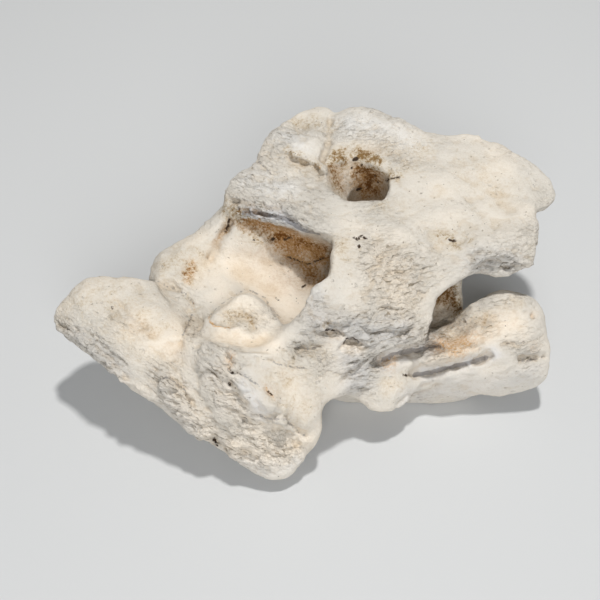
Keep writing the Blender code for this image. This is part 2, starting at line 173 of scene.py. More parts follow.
# Broad shapes, drawn first. Places are pixels of the 600 by 600 frame.
BROAD_MARKS = {
    "lobe_crown": Mark(Form.LUMP, 8, 0.8, ((292, 135), (318, 116))),
    "lobe_dirt_hollow": Mark(Form.HOLLOW, 4, 1.4, ((302, 122), (326, 126))),
    "lobe_face": Mark(Form.LUMP, 5, 0.9, ((302, 146),)),
    "lobe_shelf": Mark(Form.LEDGE, 4, 1.1, ((285, 150), (300, 157), (322, 171))),
    "lobe_crease": Mark(Form.CREASE, 3, 1.6, ((333, 112), (331, 125), (328, 140), (322, 158))),
    "notch_crease": Mark(Form.CREASE, 3, 1.4, ((252, 158), (262, 162), (274, 174))),
    "lower_lobe": Mark(Form.LUMP, 6, 0.9, ((250, 178), (262, 182))),
    "lower_lobe_right": Mark(Form.LUMP, 6, 0.7, ((285, 190),)),
    "white_lump": Mark(Form.LUMP, 7, 1, ((348, 124), (356, 130))),
    "white_lump_right": Mark(Form.LUMP, 7, 0.8, ((388, 128), (398, 136))),
    "white_lump_side": Mark(Form.HOLLOW, 5, 0.8, ((418, 138), (428, 156))),
    "eye_rim_right": Mark(Form.HOLLOW, 4, 0.9, ((392, 172), (400, 184))),
    "brow_rise": Mark(Form.LUMP, 10, 0.9, ((452, 152), (500, 172))),
    "brow_seam": Mark(Form.HOLLOW, 7, 0.9, ((474, 184), (484, 200), (488, 222))),
    "brow_hollow": Mark(Form.HOLLOW, 7, 1.7, ((444, 236), (456, 250))),
    "brow_front": Mark(Form.RIDGE, 3.5, 1.2, ((468, 254), (482, 249), (500, 252), (526, 258))),
    "brow_face": Mark(Form.HOLLOW, 4, 0.8, ((490, 262), (512, 266))),
    "beak_back": Mark(Form.HOLLOW, 5, 0.8, ((530, 184), (524, 200))),
    "bridge_back": Mark(Form.HOLLOW, 6, 0.9, ((352, 244), (354, 266))),
    "bridge_middle": Mark(Form.LUMP, 8, 0.9, ((400, 240), (404, 262))),
    "bridge_dip": Mark(Form.HOLLOW, 7, 1, ((366, 296), (384, 308))),
    "bridge_left_edge": Mark(Form.RIDGE, 3, 1.5, ((334, 240), (324, 266), (313, 292), (304, 318))),
    "bridge_flank": Mark(Form.HOLLOW, 4, 0.7, ((334, 272), (326, 300))),
    "bridge_brink": Mark(Form.RIDGE, 4, 1.3, ((318, 318), (345, 314), (378, 318), (404, 314), (428, 306))),
    "saddle_dip": Mark(Form.CREASE, 3.5, 1.6, ((296, 350), (308, 347), (330, 350))),
    "island_scoop": Mark(Form.HOLLOW, 4, 1.2, ((232, 318), (250, 322))),
    "rim_bump": Mark(Form.LUMP, 6, 1.2, ((194, 330),)),
    "rim_valley": Mark(Form.CREASE, 3.5, 1.4, ((192, 306), (188, 322), (180, 342))),
    "rim_front": Mark(
        Form.RIDGE, 3, 1.2, ((202, 342), (214, 341), (230, 347), (244, 352), (264, 353), (284, 341))
    ),
    "foot_knuckle": Mark(Form.LUMP, 5, 1, ((212, 356), (222, 366))),
    "foot_crest": Mark(Form.RIDGE, 4, 1.5, ((234, 356), (238, 370), (250, 386), (264, 402), (284, 420))),
    "foot_hollow": Mark(Form.HOLLOW, 6, 0.8, ((268, 372), (282, 384))),
    "foot_side": Mark(Form.CREASE, 3, 0.9, ((201, 348), (196, 362), (196, 378), (198, 392), (204, 404))),
    "left_rib": Mark(Form.RIDGE, 4, 1.3, ((160, 372), (172, 392), (184, 410), (200, 432))),
    "left_dip": Mark(Form.HOLLOW, 5, 0.8, ((180, 366), (184, 388))),
    "toe_ledge": Mark(Form.LEDGE, 4, 1.4, ((250, 416), (262, 413), (280, 420), (292, 429), (304, 438))),
    "toe_lump": Mark(Form.LUMP, 7, 1, ((280, 452),)),
    "toe_side": Mark(Form.HOLLOW, 5, 1, ((236, 440), (246, 452))),
    "arm_back": Mark(Form.LUMP, 6, 0.8, ((88, 288), (128, 284))),
    "arm_trough": Mark(Form.HOLLOW, 5, 1.3, ((116, 306), (134, 322), (150, 334))),
    "arm_brink": Mark(Form.RIDGE, 3.5, 1.2, ((62, 324), (80, 336), (100, 352), (122, 376), (146, 396))),
    "arm_shoulder": Mark(Form.LUMP, 6, 0.9, ((152, 356), (164, 368))),
    "rear_rim_crease": Mark(Form.CREASE, 3, 1.4, ((158, 281), (170, 288), (186, 294), (192, 305))),
    "rear_rim_lump": Mark(Form.LUMP, 6, 1, ((168, 258), (188, 248))),
    "rear_rim_stain_dip": Mark(Form.HOLLOW, 4, 0.9, ((188, 272),)),
    "rear_rim_split": Mark(Form.CREASE, 3, 1.3, ((222, 232), (216, 246), (209, 258))),
    "basin_floor_wave": Mark(Form.LUMP, 8, 0.6, ((250, 262), (262, 276))),
    "limb_groove": Mark(Form.CREASE, 3, 2, ((417, 374), (438, 370), (467, 363), (490, 357))),
    "limb_rim": Mark(Form.RIDGE, 2.4, 1.7, ((409, 366), (422, 361), (444, 356), (468, 350), (492, 346))),
    "limb_top": Mark(Form.LUMP, 6, 0.9, ((486, 306), (520, 300))),
    "limb_dish": Mark(Form.HOLLOW, 6, 1.3, ((452, 338), (470, 330))),
    "limb_shoulder": Mark(Form.RIDGE, 4, 1, ((462, 312), (478, 320), (496, 334))),
    "limb_groove_end": Mark(Form.CREASE, 3, 1.2, ((520, 362), (534, 360), (548, 356))),
    "limb_side": Mark(Form.CREASE, 3, 1, ((500, 340), (514, 344), (528, 340))),
    "knob_top": Mark(Form.LUMP, 5, 1.6, ((396, 384),)),
    "knob_crevice": Mark(Form.CREASE, 3, 1.5, ((382, 361), (393, 355), (414, 351), (436, 349))),
    "knob_overhang": Mark(Form.LEDGE, 3, 1.3, ((376, 357), (390, 347), (412, 342), (438, 341))),
    "under_foot": Mark(Form.CREASE, 2.5, 1.6, ((398, 404), (420, 392), (446, 388), (470, 392))),
}

# Narrow shapes, drawn on the finer mesh.
FINE_MARKS = {
    "lobe_edge": Mark(Form.LEDGE, 1.8, 1.3, ((285, 150), (300, 157), (312, 164), (322, 170))),
    "lobe_seam": Mark(Form.CREASE, 1.6, 1.3, ((331, 116), (332, 128), (328, 142), (322, 160))),
    "lobe_fold": Mark(Form.CREASE, 1.4, 0.8, ((296, 128), (306, 134), (318, 136))),
    "notch_fold": Mark(Form.CREASE, 1.6, 1.4, ((256, 160), (264, 166), (271, 174))),
    "lip_wrinkle_high": Mark(
        Form.LEDGE, 1.4, 0.9, ((226, 196), (246, 201), (270, 203), (292, 212), (306, 221))
    ),
    "lip_edge": Mark(Form.LEDGE, 1.8, 0.9, ((240, 209), (262, 210), (288, 213), (300, 226), (328, 234))),
    "lip_wrinkle_low": Mark(Form.CREASE, 1.4, 1.2, ((240, 208), (262, 212), (284, 218), (300, 229))),
    "eye_crack": Mark(Form.CREASE, 1.4, 2, ((382, 181), (390, 179), (399, 177))),
    "eye_lip_top": Mark(Form.RIDGE, 1.6, 0.8, ((334, 160), (346, 154), (362, 157), (376, 165))),
    "brow_seam": Mark(Form.CREASE, 1.4, 0.6, ((428, 150), (446, 168), (470, 182), (484, 200))),
    "brow_edge": Mark(Form.LEDGE, 1.8, 1.4, ((528, 258), (512, 252), (490, 252), (472, 257))),
    "brow_scar": Mark(Form.LEDGE, 1.8, 0.7, ((474, 196), (486, 190), (502, 192))),
    "hollow_edge": Mark(Form.CREASE, 1.4, 1, ((438, 238), (446, 242), (456, 243), (464, 239))),
    "bridge_scar_high": Mark(Form.LEDGE, 2, 1.2, ((400, 250), (384, 258), (374, 276), (370, 292))),
    "bridge_scar_low": Mark(Form.LEDGE, 2, 1, ((314, 308), (326, 320), (355, 327), (380, 330), (404, 326))),
    "bridge_flank_fold": Mark(Form.CREASE, 1.6, 1.2, ((312, 296), (316, 308), (320, 314))),
    "under_bridge": Mark(Form.CREASE, 1.8, 1.4, ((372, 358), (362, 366), (350, 372), (340, 384))),
    "crevice": Mark(Form.CREASE, 1.8, 1.4, ((382, 361), (393, 355), (414, 351), (436, 349))),
    "knob_crack": Mark(Form.CREASE, 1.2, 1.2, ((402, 372), (407, 375), (412, 374))),
    "limb_channel": Mark(Form.CREASE, 1.5, 2.8, ((417, 374), (438, 370), (467, 363), (490, 357))),
    "limb_dimple": Mark(Form.HOLLOW, 2.2, 1, ((476, 315), (483, 320))),
    "limb_wrinkle": Mark(Form.CREASE, 1.4, 1, ((506, 342), (516, 345), (524, 342))),
    "limb_split": Mark(Form.CREASE, 1.6, 1.6, ((520, 361), (533, 360), (545, 356))),
    "island_edge": Mark(Form.LEDGE, 1.6, 1.4, ((232, 328), (226, 328), (216, 326), (210, 322), (209, 315))),
    "island_shore": Mark(Form.CREASE, 1.6, 1.6, ((236, 293), (250, 290), (264, 297), (271, 309), (283, 319))),
    "island_scar": Mark(Form.CREASE, 1.4, 0.8, ((226, 314), (238, 318), (252, 322))),
    "rim_shadow": Mark(Form.CREASE, 1.6, 1.4, ((192, 315), (186, 328), (180, 341))),
    "rim_step": Mark(
        Form.LEDGE, 1.8, 1.5, ((267, 353), (250, 353), (236, 352), (221, 346), (207, 340), (201, 346))
    ),
    "saddle_fold_high": Mark(Form.CREASE, 1.6, 1.5, ((294, 347), (307, 349), (322, 347))),
    "saddle_fold_low": Mark(Form.CREASE, 1.4, 1, ((270, 360), (279, 364), (293, 367), (307, 369))),
    "foot_crack": Mark(Form.CREASE, 1.2, 1.4, ((230, 362), (228, 369), (233, 374), (244, 375), (258, 386))),
    "foot_brink": Mark(Form.LEDGE, 2, 1.4, ((271, 419), (259, 408), (250, 393), (240, 380))),
    "foot_slit": Mark(Form.CREASE, 1.3, 1.2, ((266, 388), (271, 393), (275, 399), (284, 405))),
    "slope_scar": Mark(Form.LEDGE, 1.6, 1.3, ((190, 402), (184, 389), (177, 384), (166, 377), (159, 381))),
    "toe_edge": Mark(Form.LEDGE, 1.8, 1.6, ((304, 436), (296, 430), (286, 419), (271, 418), (257, 414))),
    "toe_crack": Mark(Form.CREASE, 1.5, 2.4, ((214, 437), (217, 445), (224, 452))),
    "toe_wrinkle": Mark(Form.CREASE, 1.4, 0.9, ((246, 428), (262, 436), (276, 448))),
    "arm_crease": Mark(Form.CREASE, 1.6, 1, ((116, 300), (128, 312), (145, 325))),
    "arm_hairline_left": Mark(Form.CREASE, 1.3, 0.6, ((100, 320), (118, 328), (134, 340))),
    "arm_hairline_right": Mark(Form.CREASE, 1.3, 0.6, ((126, 330), (140, 336), (152, 346))),
    "arm_edge": Mark(Form.LEDGE, 1.8, 1.4, ((120, 374), (98, 350), (78, 336), (60, 326))),
    "rear_crease": Mark(Form.CREASE, 1.6, 1.2, ((158, 281), (170, 288), (185, 293), (194, 305), (196, 314))),
    "basin_crack": Mark(Form.CREASE, 1.2, 1, ((286, 256), (298, 261), (310, 263), (325, 258))),
    "basin_corner_crack": Mark(Form.CREASE, 1.6, 1.8, ((230, 224), (222, 234), (216, 243), (208, 257))),
}

# Pits big enough to see into.
PITS = {
    "bridge_hole_floor": Mark(Form.LUMP, 2.8, 3.4, ((349, 349), (355, 349))),
    "bridge_hole_brow": Mark(Form.LEDGE, 1.4, 1.4, ((341, 344), (346, 338), (353, 336), (361, 342))),
    "bridge_slit": Mark(Form.LEDGE, 1.4, 1.2, ((324, 331), (330, 329), (337, 329), (343, 333))),
    "bridge_slit_floor": Mark(Form.HOLLOW, 1.8, 0.9, ((330, 334), (337, 335))),
    "foot_pit": Mark(Form.HOLLOW, 1.3, 2.2, ((230, 384),)),
    "basin_pit_left": Mark(Form.HOLLOW, 1.2, 2.2, ((273, 239),)),
    "basin_pit_right": Mark(Form.HOLLOW, 1.2, 2, ((290, 239),)),
    "arm_pit": Mark(Form.HOLLOW, 0.9, 1, ((112, 308),)),
    "brow_pit": Mark(Form.HOLLOW, 1.4, 1.2, ((450, 241),)),
    "limb_pit": Mark(Form.HOLLOW, 1.3, 1.4, ((533, 316),)),
    "limb_pit_low": Mark(Form.HOLLOW, 1, 1, ((481, 350),)),
    "speck_pit_high": Mark(Form.HOLLOW, 0.8, 0.9, ((357, 239), (364, 237))),
    "speck_pit_low": Mark(Form.HOLLOW, 0.8, 0.9, ((359, 247),)),
    "eye_pit_high": Mark(Form.HOLLOW, 0.9, 1, ((366, 172),)),
    "eye_pit_low": Mark(Form.HOLLOW, 0.9, 1, ((372, 184),)),
}

# Stains, with spots of painted shade and painted light among them, by tint.
STAINS = {
    Tint.DIRT: (
        # Brown stains; in the eye and on the basin's wall under the lip they are painted shade as well.
        Spot(8, 1, ((368, 176),)),
        Spot(6, 0.5, ((334, 172), (342, 188))),
        Spot(5, 0.9, ((362, 184), (364, 194), (376, 190))),
        Spot(5, 0.95, ((238, 218), (262, 223), (290, 231))),
        Spot(7, 1.1, ((284, 238), (304, 246), (320, 254))),
        Spot(5.5, 0.9, ((292, 254), (306, 266), (315, 278))),
        Spot(8, 0.25, ((258, 240), (272, 256), (290, 282))),
        Spot(2, 0.45, ((228, 222), (222, 234), (216, 244))),
        # Painted shade on the inner wall seen through the gap.
        Spot(5, 0.5, ((440, 298), (450, 294), (460, 304))),
        Spot(5, 0.12, ((140, 326), (180, 350))),
        Spot(6, 0.12, ((480, 330), (510, 322))),
    ),
    Tint.GRIME: (
        Spot(5, 1.2, ((340, 157), (354, 153), (374, 161))),
        Spot(7, 1.3, ((366, 172), (372, 184))),
        Spot(5, 0.8, ((330, 168), (336, 184), (346, 196))),
        # Painted shade, dark brown, on the basin's wall in the lip's shadow, over its stain.
        Spot(5, 1, ((262, 232), (284, 238), (304, 243), (322, 250))),
        Spot(5, 0.5, ((306, 266), (316, 280))),
        Spot(4, 0.7, ((380, 172), (390, 176), (400, 174))),
        Spot(8, 0.35, ((388, 152), (408, 162), (420, 150))),
        Spot(6, 0.3, ((376, 202), (392, 208))),
        Spot(4, 0.55, ((298, 123), (314, 122), (330, 127))),
        Spot(2.8, 0.65, ((288, 152), (302, 160), (320, 168))),
        Spot(4, 0.35, ((294, 164), (306, 170))),
        Spot(4, 0.85, ((226, 206), (236, 214), (244, 220))),
        Spot(3.5, 0.7, ((246, 230), (262, 234), (276, 236))),
        Spot(2.4, 1, ((228, 220), (224, 230))),
        Spot(4, 0.6, ((228, 316), (240, 316), (250, 322))),
        Spot(4, 0.4, ((340, 240), (344, 252), (342, 264))),
        Spot(4, 0.7, ((442, 238), (456, 241), (462, 238))),
        Spot(3, 0.5, ((318, 326), (334, 326))),
        Spot(3, 0.4, ((296, 356), (320, 352))),
        Spot(9, 0.4, ((166, 264), (196, 252))),
        Spot(14, 0.3, ((80, 300), (120, 296), (150, 330))),
        Spot(9, 0.3, ((288, 378), (302, 410))),
        Spot(6, 0.3, ((392, 386),)),
        Spot(9, 0.25, ((470, 168), (500, 190))),
        Spot(5, 0.3, ((120, 318), (142, 330))),
        Spot(3, 0.4, ((294, 446),)),
        Spot(3.5, 0.45, ((478, 316), (486, 322))),
        Spot(5, 0.5, ((444, 334), (456, 342))),
        # Painted shade on the inner wall seen through the gap.
        Spot(7, 1.2, ((444, 296), (456, 304))),
        Spot(3, 0.3, ((502, 306), (520, 300))),
        Spot(3, 1, ((192, 262), (188, 280))),
    ),
    Tint.RUST: (
        Spot(5, 1.1, ((442, 344), (452, 348), (466, 341))),
        Spot(3.5, 0.4, ((446, 328), (460, 326))),
        Spot(2, 1, ((191, 264), (189, 272), (187, 280))),
        Spot(1.6, 0.6, ((231, 356), (229, 363))),
        Spot(1.8, 0.5, ((266, 388), (274, 399))),
        Spot(2.4, 0.4, ((533, 316),)),
        Spot(3, 0.35, ((533, 348),)),
        Spot(2.4, 1.2, ((386, 363), (392, 362))),
    ),
    Tint.SLATE: (
        # Painted shade, grey-blue as with reflected light: on faces turned down or away, under ledges and in
        # grooves. The first spot tints the lit crest of the foot grey-blue, as painted light.
        Spot(3, 0.8, ((242, 382), (252, 396), (262, 412))),
        Spot(6, 0.5, ((480, 262), (510, 264))),
        Spot(6, 0.7, ((318, 322), (340, 328), (366, 334), (400, 332))),
        Spot(6, 0.7, ((350, 360), (362, 372), (354, 384))),
        Spot(5, 0.8, ((382, 361), (393, 354), (414, 349), (438, 346))),
        Spot(3, 1, ((414, 374), (438, 369), (467, 362), (492, 354))),
        Spot(5, 0.5, ((405, 396), (440, 392), (470, 398))),
        Spot(7, 0.4, ((450, 384), (500, 384), (530, 376))),
        Spot(5, 0.25, ((160, 384), (172, 408), (190, 426))),
        Spot(5, 0.4, ((72, 336), (96, 350), (118, 370))),
        Spot(5, 0.25, ((212, 366), (224, 388), (236, 408))),
        Spot(3.5, 1.3, ((244, 213), (280, 217), (302, 230))),
        Spot(4, 0.5, ((318, 290), (312, 306), (318, 314))),
    ),
    Tint.CHALK: (
        Spot(9, 0.7, ((350, 124), (384, 128), (412, 142))),
        Spot(7, 0.7, ((250, 178), (284, 190))),
        Spot(7, 0.7, ((284, 134), (300, 146))),
        Spot(5, 0.5, ((240, 462), (270, 470), (300, 462))),
    ),
    Tint.CREAM: (
        Spot(10, 0.9, ((236, 268), (262, 282), (290, 308))),
        Spot(6, 1.2, ((224, 338), (250, 344), (268, 342))),
        Spot(9, 0.45, ((288, 378), (302, 404))),
        Spot(9, 0.7, ((136, 326), (168, 348), (184, 330))),
        Spot(7, 0.6, ((196, 280), (214, 262), (222, 292))),
        Spot(6, 0.7, ((226, 306), (244, 300), (262, 316))),
        Spot(12, 0.2, ((440, 190), (490, 190), (500, 226))),
        Spot(7, 0.65, ((222, 374), (238, 408), (266, 440))),
        Spot(7, 1.1, ((236, 452), (276, 460), (300, 446))),
        Spot(10, 0.8, ((386, 262), (402, 300))),
        Spot(6, 0.6, ((172, 380), (188, 412), (214, 438))),
        Spot(5, 0.4, ((392, 386),)),
        Spot(7, 0.9, ((484, 332), (512, 324))),
        Spot(4, 1, ((446, 344), (458, 340))),
        Spot(2.6, 0.9, ((430, 361), (456, 354), (474, 350))),
        # Painted light on the lit floors of the two small pits in the bridge.
        Spot(2.6, 1.6, ((348, 348), (357, 349))),
        Spot(1.8, 1.3, ((332, 335), (340, 336))),
    ),
    Tint.SPECKS: (
        Spot(7, 1.4, ((356, 160), (372, 176), (360, 190))),
        Spot(10, 0.5, ((392, 158), (410, 172), (400, 196))),
        Spot(5, 0.7, ((356, 240), (366, 244))),
        Spot(9, 0.6, ((256, 232), (280, 244), (300, 262), (300, 290))),
        Spot(5, 0.6, ((300, 122), (326, 128))),
        Spot(4, 0.6, ((290, 155), (318, 167))),
        Spot(4, 0.5, ((446, 240), (458, 244))),
    ),
}

# Thin lines and dots.
INK_LINES = {
    Ink.DARK: (
        Line(0.35, ((286, 256), (292, 259), (300, 261), (308, 264), (316, 261), (325, 258))),
        Line(0.45, ((230, 219), (228, 226), (225, 232))),
        Line(0.35, ((386, 180), (392, 179), (399, 177))),
        Line(0.8, ((273, 239),)),
        Line(0.5, ((289, 238), (292, 238))),
        Line(0.35, ((284, 239),)),
        Line(0.35, ((254, 240),)),
        Line(0.35, ((269, 233),)),
        Line(0.65, ((230, 384),)),
        Line(0.45, ((112, 308),)),
        Line(0.4, ((450, 240), (455, 241))),
        Line(0.42, ((353, 237), (357, 240), (362, 236), (367, 239))),
        Line(0.6, ((359, 247),)),
        Line(0.65, ((354, 159), (357, 159))),
        Line(0.6, ((352, 168),)),
        Line(0.65, ((361, 165),)),
        Line(0.65, ((376, 176),)),
        Line(0.65, ((357, 190), (361, 188))),
        Line(0.6, ((378, 182),)),
        Line(0.5, ((303, 287), (306, 285))),
        Line(0.3, ((297, 297), (299, 303))),
        Line(0.2, ((275, 297), (279, 301))),
        Line(0.5, ((214, 438), (217, 445))),
        Line(0.3, ((231, 372), (235, 375))),
        # Painted shade in the slit on the bridge.
        Line(0.35, ((326, 330), (334, 330))),
        # Painted shadow under the upper rim of the small hole in the bridge.
        Line(0.3, ((343, 343), (346, 339), (352, 337), (358, 341))),
        Line(0.45, ((403, 375), (407, 376))),
        Line(0.25, ((268, 390), (272, 395))),
    ),
    Ink.RUSTY: (
        Line(0.35, ((209, 316), (210, 322), (216, 326), (226, 328), (231, 328))),
        Line(0.2, ((233, 356), (229, 362))),
        Line(0.25, ((266, 388), (270, 393), (273, 397))),
        Line(0.1, ((193, 302), (195, 309))),
        Line(0.25, ((314, 165), (320, 168))),
    ),
    Ink.CRACK: (
        # Painted shade: grey lines in creases and grooves, under ledges and rims, and along the basin's lip.
        Line(1, ((414, 375), (438, 370), (467, 363), (486, 357))),
        Line(0.3, ((520, 361), (533, 360), (545, 356))),
        Line(0.2, ((506, 342), (516, 345), (524, 342))),
        Line(0.5, ((343, 343), (347, 339), (352, 338), (358, 342))),
        Line(0.45, ((324, 331), (330, 329), (340, 332))),
        Line(1.1, ((384, 360), (394, 353), (410, 351), (424, 349))),
        Line(0.5, ((424, 349), (438, 346))),
        Line(0.3, ((256, 414), (271, 419), (286, 419), (296, 430), (304, 436))),
        Line(0.25, ((228, 369), (233, 374), (244, 375), (258, 386))),
        Line(0.3, ((159, 381), (166, 377), (177, 384), (184, 389), (190, 402))),
        Line(0.3, ((180, 341), (186, 328), (192, 315))),
        Line(0.25, ((158, 281), (170, 288), (185, 293), (194, 305))),
        Line(0.15, ((209, 316), (220, 305), (232, 297), (243, 291))),
        Line(0.2, ((250, 290), (264, 297), (271, 309), (283, 319))),
        Line(0.35, ((296, 347), (307, 349), (321, 347))),
        Line(0.25, ((270, 360), (279, 364), (293, 367), (307, 369))),
        Line(1, ((244, 213), (262, 214), (286, 219), (302, 230), (318, 234))),
        Line(0.3, ((256, 160), (264, 166), (271, 174))),
    ),
}

# How rough and how pored the stone is, from 0 to 1.
ZONES = {
    Zone.ROUGH: (
        Spot(11, 1, ((382, 262), (402, 274), (392, 300))),
        Spot(6, 1, ((318, 324), (346, 324), (400, 328), (426, 338))),
        Spot(6, 1, ((352, 364), (372, 358), (360, 382))),
        Spot(5, 0.9, ((296, 350), (316, 350), (322, 362))),
        Spot(8, 0.8, ((212, 362), (224, 394), (240, 420))),
        Spot(8, 0.7, ((262, 462), (290, 450), (232, 448))),
        Spot(7, 1, ((160, 378), (176, 404), (192, 428))),
        Spot(6, 0.9, ((62, 326), (84, 342), (112, 366))),
        Spot(5, 0.9, ((286, 214), (244, 206))),
        Spot(5, 0.6, ((232, 192), (244, 178), (258, 166))),
        Spot(8, 0.55, ((352, 128), (384, 138), (404, 160))),
        Spot(6, 1, ((484, 262), (512, 262))),
        Spot(7, 0.6, ((528, 344), (528, 368))),
        Spot(5, 0.7, ((430, 358), (476, 352))),
        Spot(4, 0.7, ((190, 318), (194, 336))),
        Spot(4, 0.45, ((236, 316), (250, 322))),
        Spot(11, 0.08, ((240, 262), (284, 296))),
        Spot(5, 0.08, ((236, 340), (262, 342))),
        Spot(6, 0.15, ((292, 384), (304, 420))),
        Spot(11, 0.08, ((92, 296), (136, 292))),
        Spot(5, 0.5, ((118, 318), (142, 330))),
        Spot(12, 0.15, ((440, 190), (480, 180), (500, 220))),
        Spot(6, 0.12, ((392, 388),)),
        Spot(8, 0.2, ((480, 384), (516, 384))),
        Spot(7, 0.2, ((500, 322),)),
        Spot(5, 0.7, ((464, 322), (486, 326))),
        Spot(4, 0.6, ((508, 346), (532, 352))),
        Spot(4, 0.1, ((414, 370), (440, 364), (470, 357), (492, 352))),
        Spot(8, 0.2, ((400, 206), (440, 212), (470, 226))),
        Spot(8, 0.12, ((160, 270), (178, 254), (202, 244))),
        Spot(5, 0.5, ((486, 304), (520, 300))),
        Spot(5, 0.7, ((318, 298), (313, 314), (324, 322))),
        Spot(5, 0.15, ((334, 262), (328, 286))),
        Spot(6, 0.9, ((206, 436), (228, 456))),
        Spot(6, 0.6, ((276, 136), (268, 156))),
    ),
    Zone.PORED: (
        Spot(12, 0.7, ((392, 262), (392, 292))),
        Spot(6, 0.8, ((396, 160), (392, 206))),
        Spot(7, 0.8, ((452, 244),)),
        Spot(6, 0.6, ((268, 460),)),
        Spot(8, 0.5, ((526, 318), (512, 300))),
        Spot(5, 0.7, ((330, 124),)),
        Spot(9, 0.1, ((240, 268), (286, 300))),
    ),
}

# The scales of rough ground, the widest first.
GROUNDS = (
    Ground(Pattern.LUMPS, 14, 1.4, Zone.ALL_OVER),
    Ground(Pattern.CRESTS, 12, 0.9, Zone.ROUGH),
    Ground(Pattern.STEPS, 7.5, 1.1, Zone.ROUGH),
    Ground(Pattern.STEPS, 3.4, 0.7, Zone.ROUGH),
    Ground(Pattern.SCALES, 2.2, 0.4, Zone.ROUGH),
    Ground(Pattern.PORES, 4, 1.2, Zone.PORED),
    Ground(Pattern.PORES, 2.4, 0.8, Zone.PORED),
)

# The grain of the stone: the way it runs on the left and on the right, in degrees from +X, where it
# changes, in millimetres, how far waves are drawn out along it, across it and upwards, and how far it bends.
GRAIN_TURNS = (-32, 24)
GRAIN_CHANGE = (-12, 22)
GRAIN_STRETCH = (1.6, 1.0, 0.8)
GRAIN_BEND = (2.6, 2.6, 2.6)
# The way in which the stone breaks off in steps, in the grain's own directions.
STEP_FALL = (-0.15, -0.8, -0.58)
# How fast a ridge or a crease falls off near its line and far from it, and a ledge's steepness and fall.
SHARP_FALL, WIDE_FALL = 1.4, 0.2
LEDGE_STEEPNESS, LEDGE_FALL = 2.5, 0.35


@dataclass(frozen=True)
class Viewpoint:
    """Where the camera stands, and where a pixel of its frame looks."""

    target: tuple[float, float, float] = (-0.0052, -0.0077, 0.030)
    distance: float = 0.350
    elevation: float = 50.0
    lens: float = 50.0
    sensor: float = 36.0
    frame_size: int = 600
    clip_start: float = 0.01

    def back(self) -> Vector:
        """Returns the unit vector from the target to the camera."""
        angle = math.radians(self.elevation)
        return Vector((0, -math.cos(angle), math.sin(angle)))

    def position(self) -> Vector:
        """Returns the camera's place."""
        return Vector(self.target) + self.back() * self.distance

    def ray(self, pixel: Pixel) -> Vector:
        """Returns the unit vector from the camera through a pixel.

        Args:
            pixel: its place across and down the frame.
        """
        angle = math.radians(self.elevation)
        up = Vector((0, math.sin(angle), math.cos(angle)))
        scale = self.sensor / self.lens / self.frame_size
        middle = self.frame_size / 2
        across, down = (pixel[0] - middle) * scale, (pixel[1] - middle) * scale
        return (Vector((across, 0, 0)) - up * down - self.back()).normalized()

    def add_camera(self) -> None:
        """Adds the camera and makes it the scene's own."""
        bpy.ops.object.camera_add(location=self.position())
        camera = bpy.context.object
        camera.name = "camera"
        camera.rotation_mode = "QUATERNION"
        camera.rotation_quaternion = (-self.back()).to_track_quat("-Z", "Y")
        camera.data.lens = self.lens
        camera.data.sensor_width = self.sensor
        camera.data.clip_start = self.clip_start
        bpy.context.scene.camera = camera


def deselect_all() -> None:
    """Deselects every object, so that an operator meets only what is then selected."""
    for item in bpy.context.selected_objects:
        item.select_set(False)


def pick(piece: bpy.types.Object) -> None:
    """Makes one object the selected and active one.

    Args:
        piece: the object.
    """
    deselect_all()
    piece.select_set(True)
    bpy.context.view_layer.objects.active = piece


def apply_modifier(piece: bpy.types.Object, kind: str, **settings: object) -> None:
    """Adds a modifier to an object and applies it.

    Args:
        piece: the object.
        kind: Blender's name for the modifier's type.
        settings: the modifier's values by name.
    """
    pick(piece)
    modifier = piece.modifiers.new(kind.lower(), kind)
    for name, value in settings.items():
        setattr(modifier, name, value)
    bpy.ops.object.modifier_apply(modifier=modifier.name)


def read_vectors(piece: bpy.types.Object, name: str) -> np.ndarray:
    """Reads one vector of each of an object's vertices.

    Args:
        piece: the object.
        name: "co" for the places or "normal" for the normals.

    Returns:
        The vectors, one row each.
    """
    vectors = np.empty(len(piece.data.vertices) * 3, np.float32)
    piece.data.vertices.foreach_get(name, vectors)
    return vectors.reshape(-1, 3)


@dataclass
class Draftsman:
    """Carries lines drawn in the camera's frame onto a surface."""

    viewpoint: Viewpoint
    surface: bpy.types.Object
    step: float = 3.0
    tree: BVHTree = field(init=False)

    def __post_init__(self) -> None:
        """Reads the surface once."""
        self.tree = BVHTree.FromObject(self.surface, bpy.context.evaluated_depsgraph_get())

    def trace(self, path: tuple[Pixel, ...]) -> np.ndarray:
        """Lays a line of the frame on the surface.

        Args:
            path: the line's corners, in pixels.

        Returns:
            Points along the line, one row each, in metres. A pixel that misses the surface gives none.
        """
        corners = [Vector(corner) for corner in path]
        pixels = [corners[0]]
        for start, end in zip(corners, corners[1:]):
            count = max(1, round((end - start).length / self.step))
            pixels += [start.lerp(end, turn / count) for turn in range(1, count + 1)]
        eye = self.viewpoint.position()
        found = [self.tree.ray_cast(eye, self.viewpoint.ray(pixel))[0] for pixel in pixels]
        return np.array([place for place in found if place is not None], np.float32).reshape(-1, 3)


def nearest_on(line: np.ndarray, places: np.ndarray) -> tuple[np.ndarray, np.ndarray, np.ndarray]:
    """Finds the nearest point of a line to each place.

    Args:
        line: the line's points, one row each.
        places: the places, one row each.

    Returns:
        Each place's distance, its offset from the line, and the line's direction there.
    """
    if len(line) == 1:
        offset = places - line[0]
        return np.linalg.norm(offset, axis=1), offset, np.zeros_like(offset)
    best = np.full(len(places), np.inf, np.float32)
    offsets = np.zeros_like(places)
    along = np.zeros_like(places)
    for start, end in zip(line, line[1:]):
        run = end - start
        share = np.clip((places - start) @ run / max(float(run @ run), 1e-12), 0, 1)
        offset = places - start - share[:, None] * run
        distance = np.linalg.norm(offset, axis=1)
        closer = distance < best
        best[closer] = distance[closer]
        offsets[closer] = offset[closer]
        along[closer] = run / max(float(np.linalg.norm(run)), 1e-9)
    return best, offsets, along


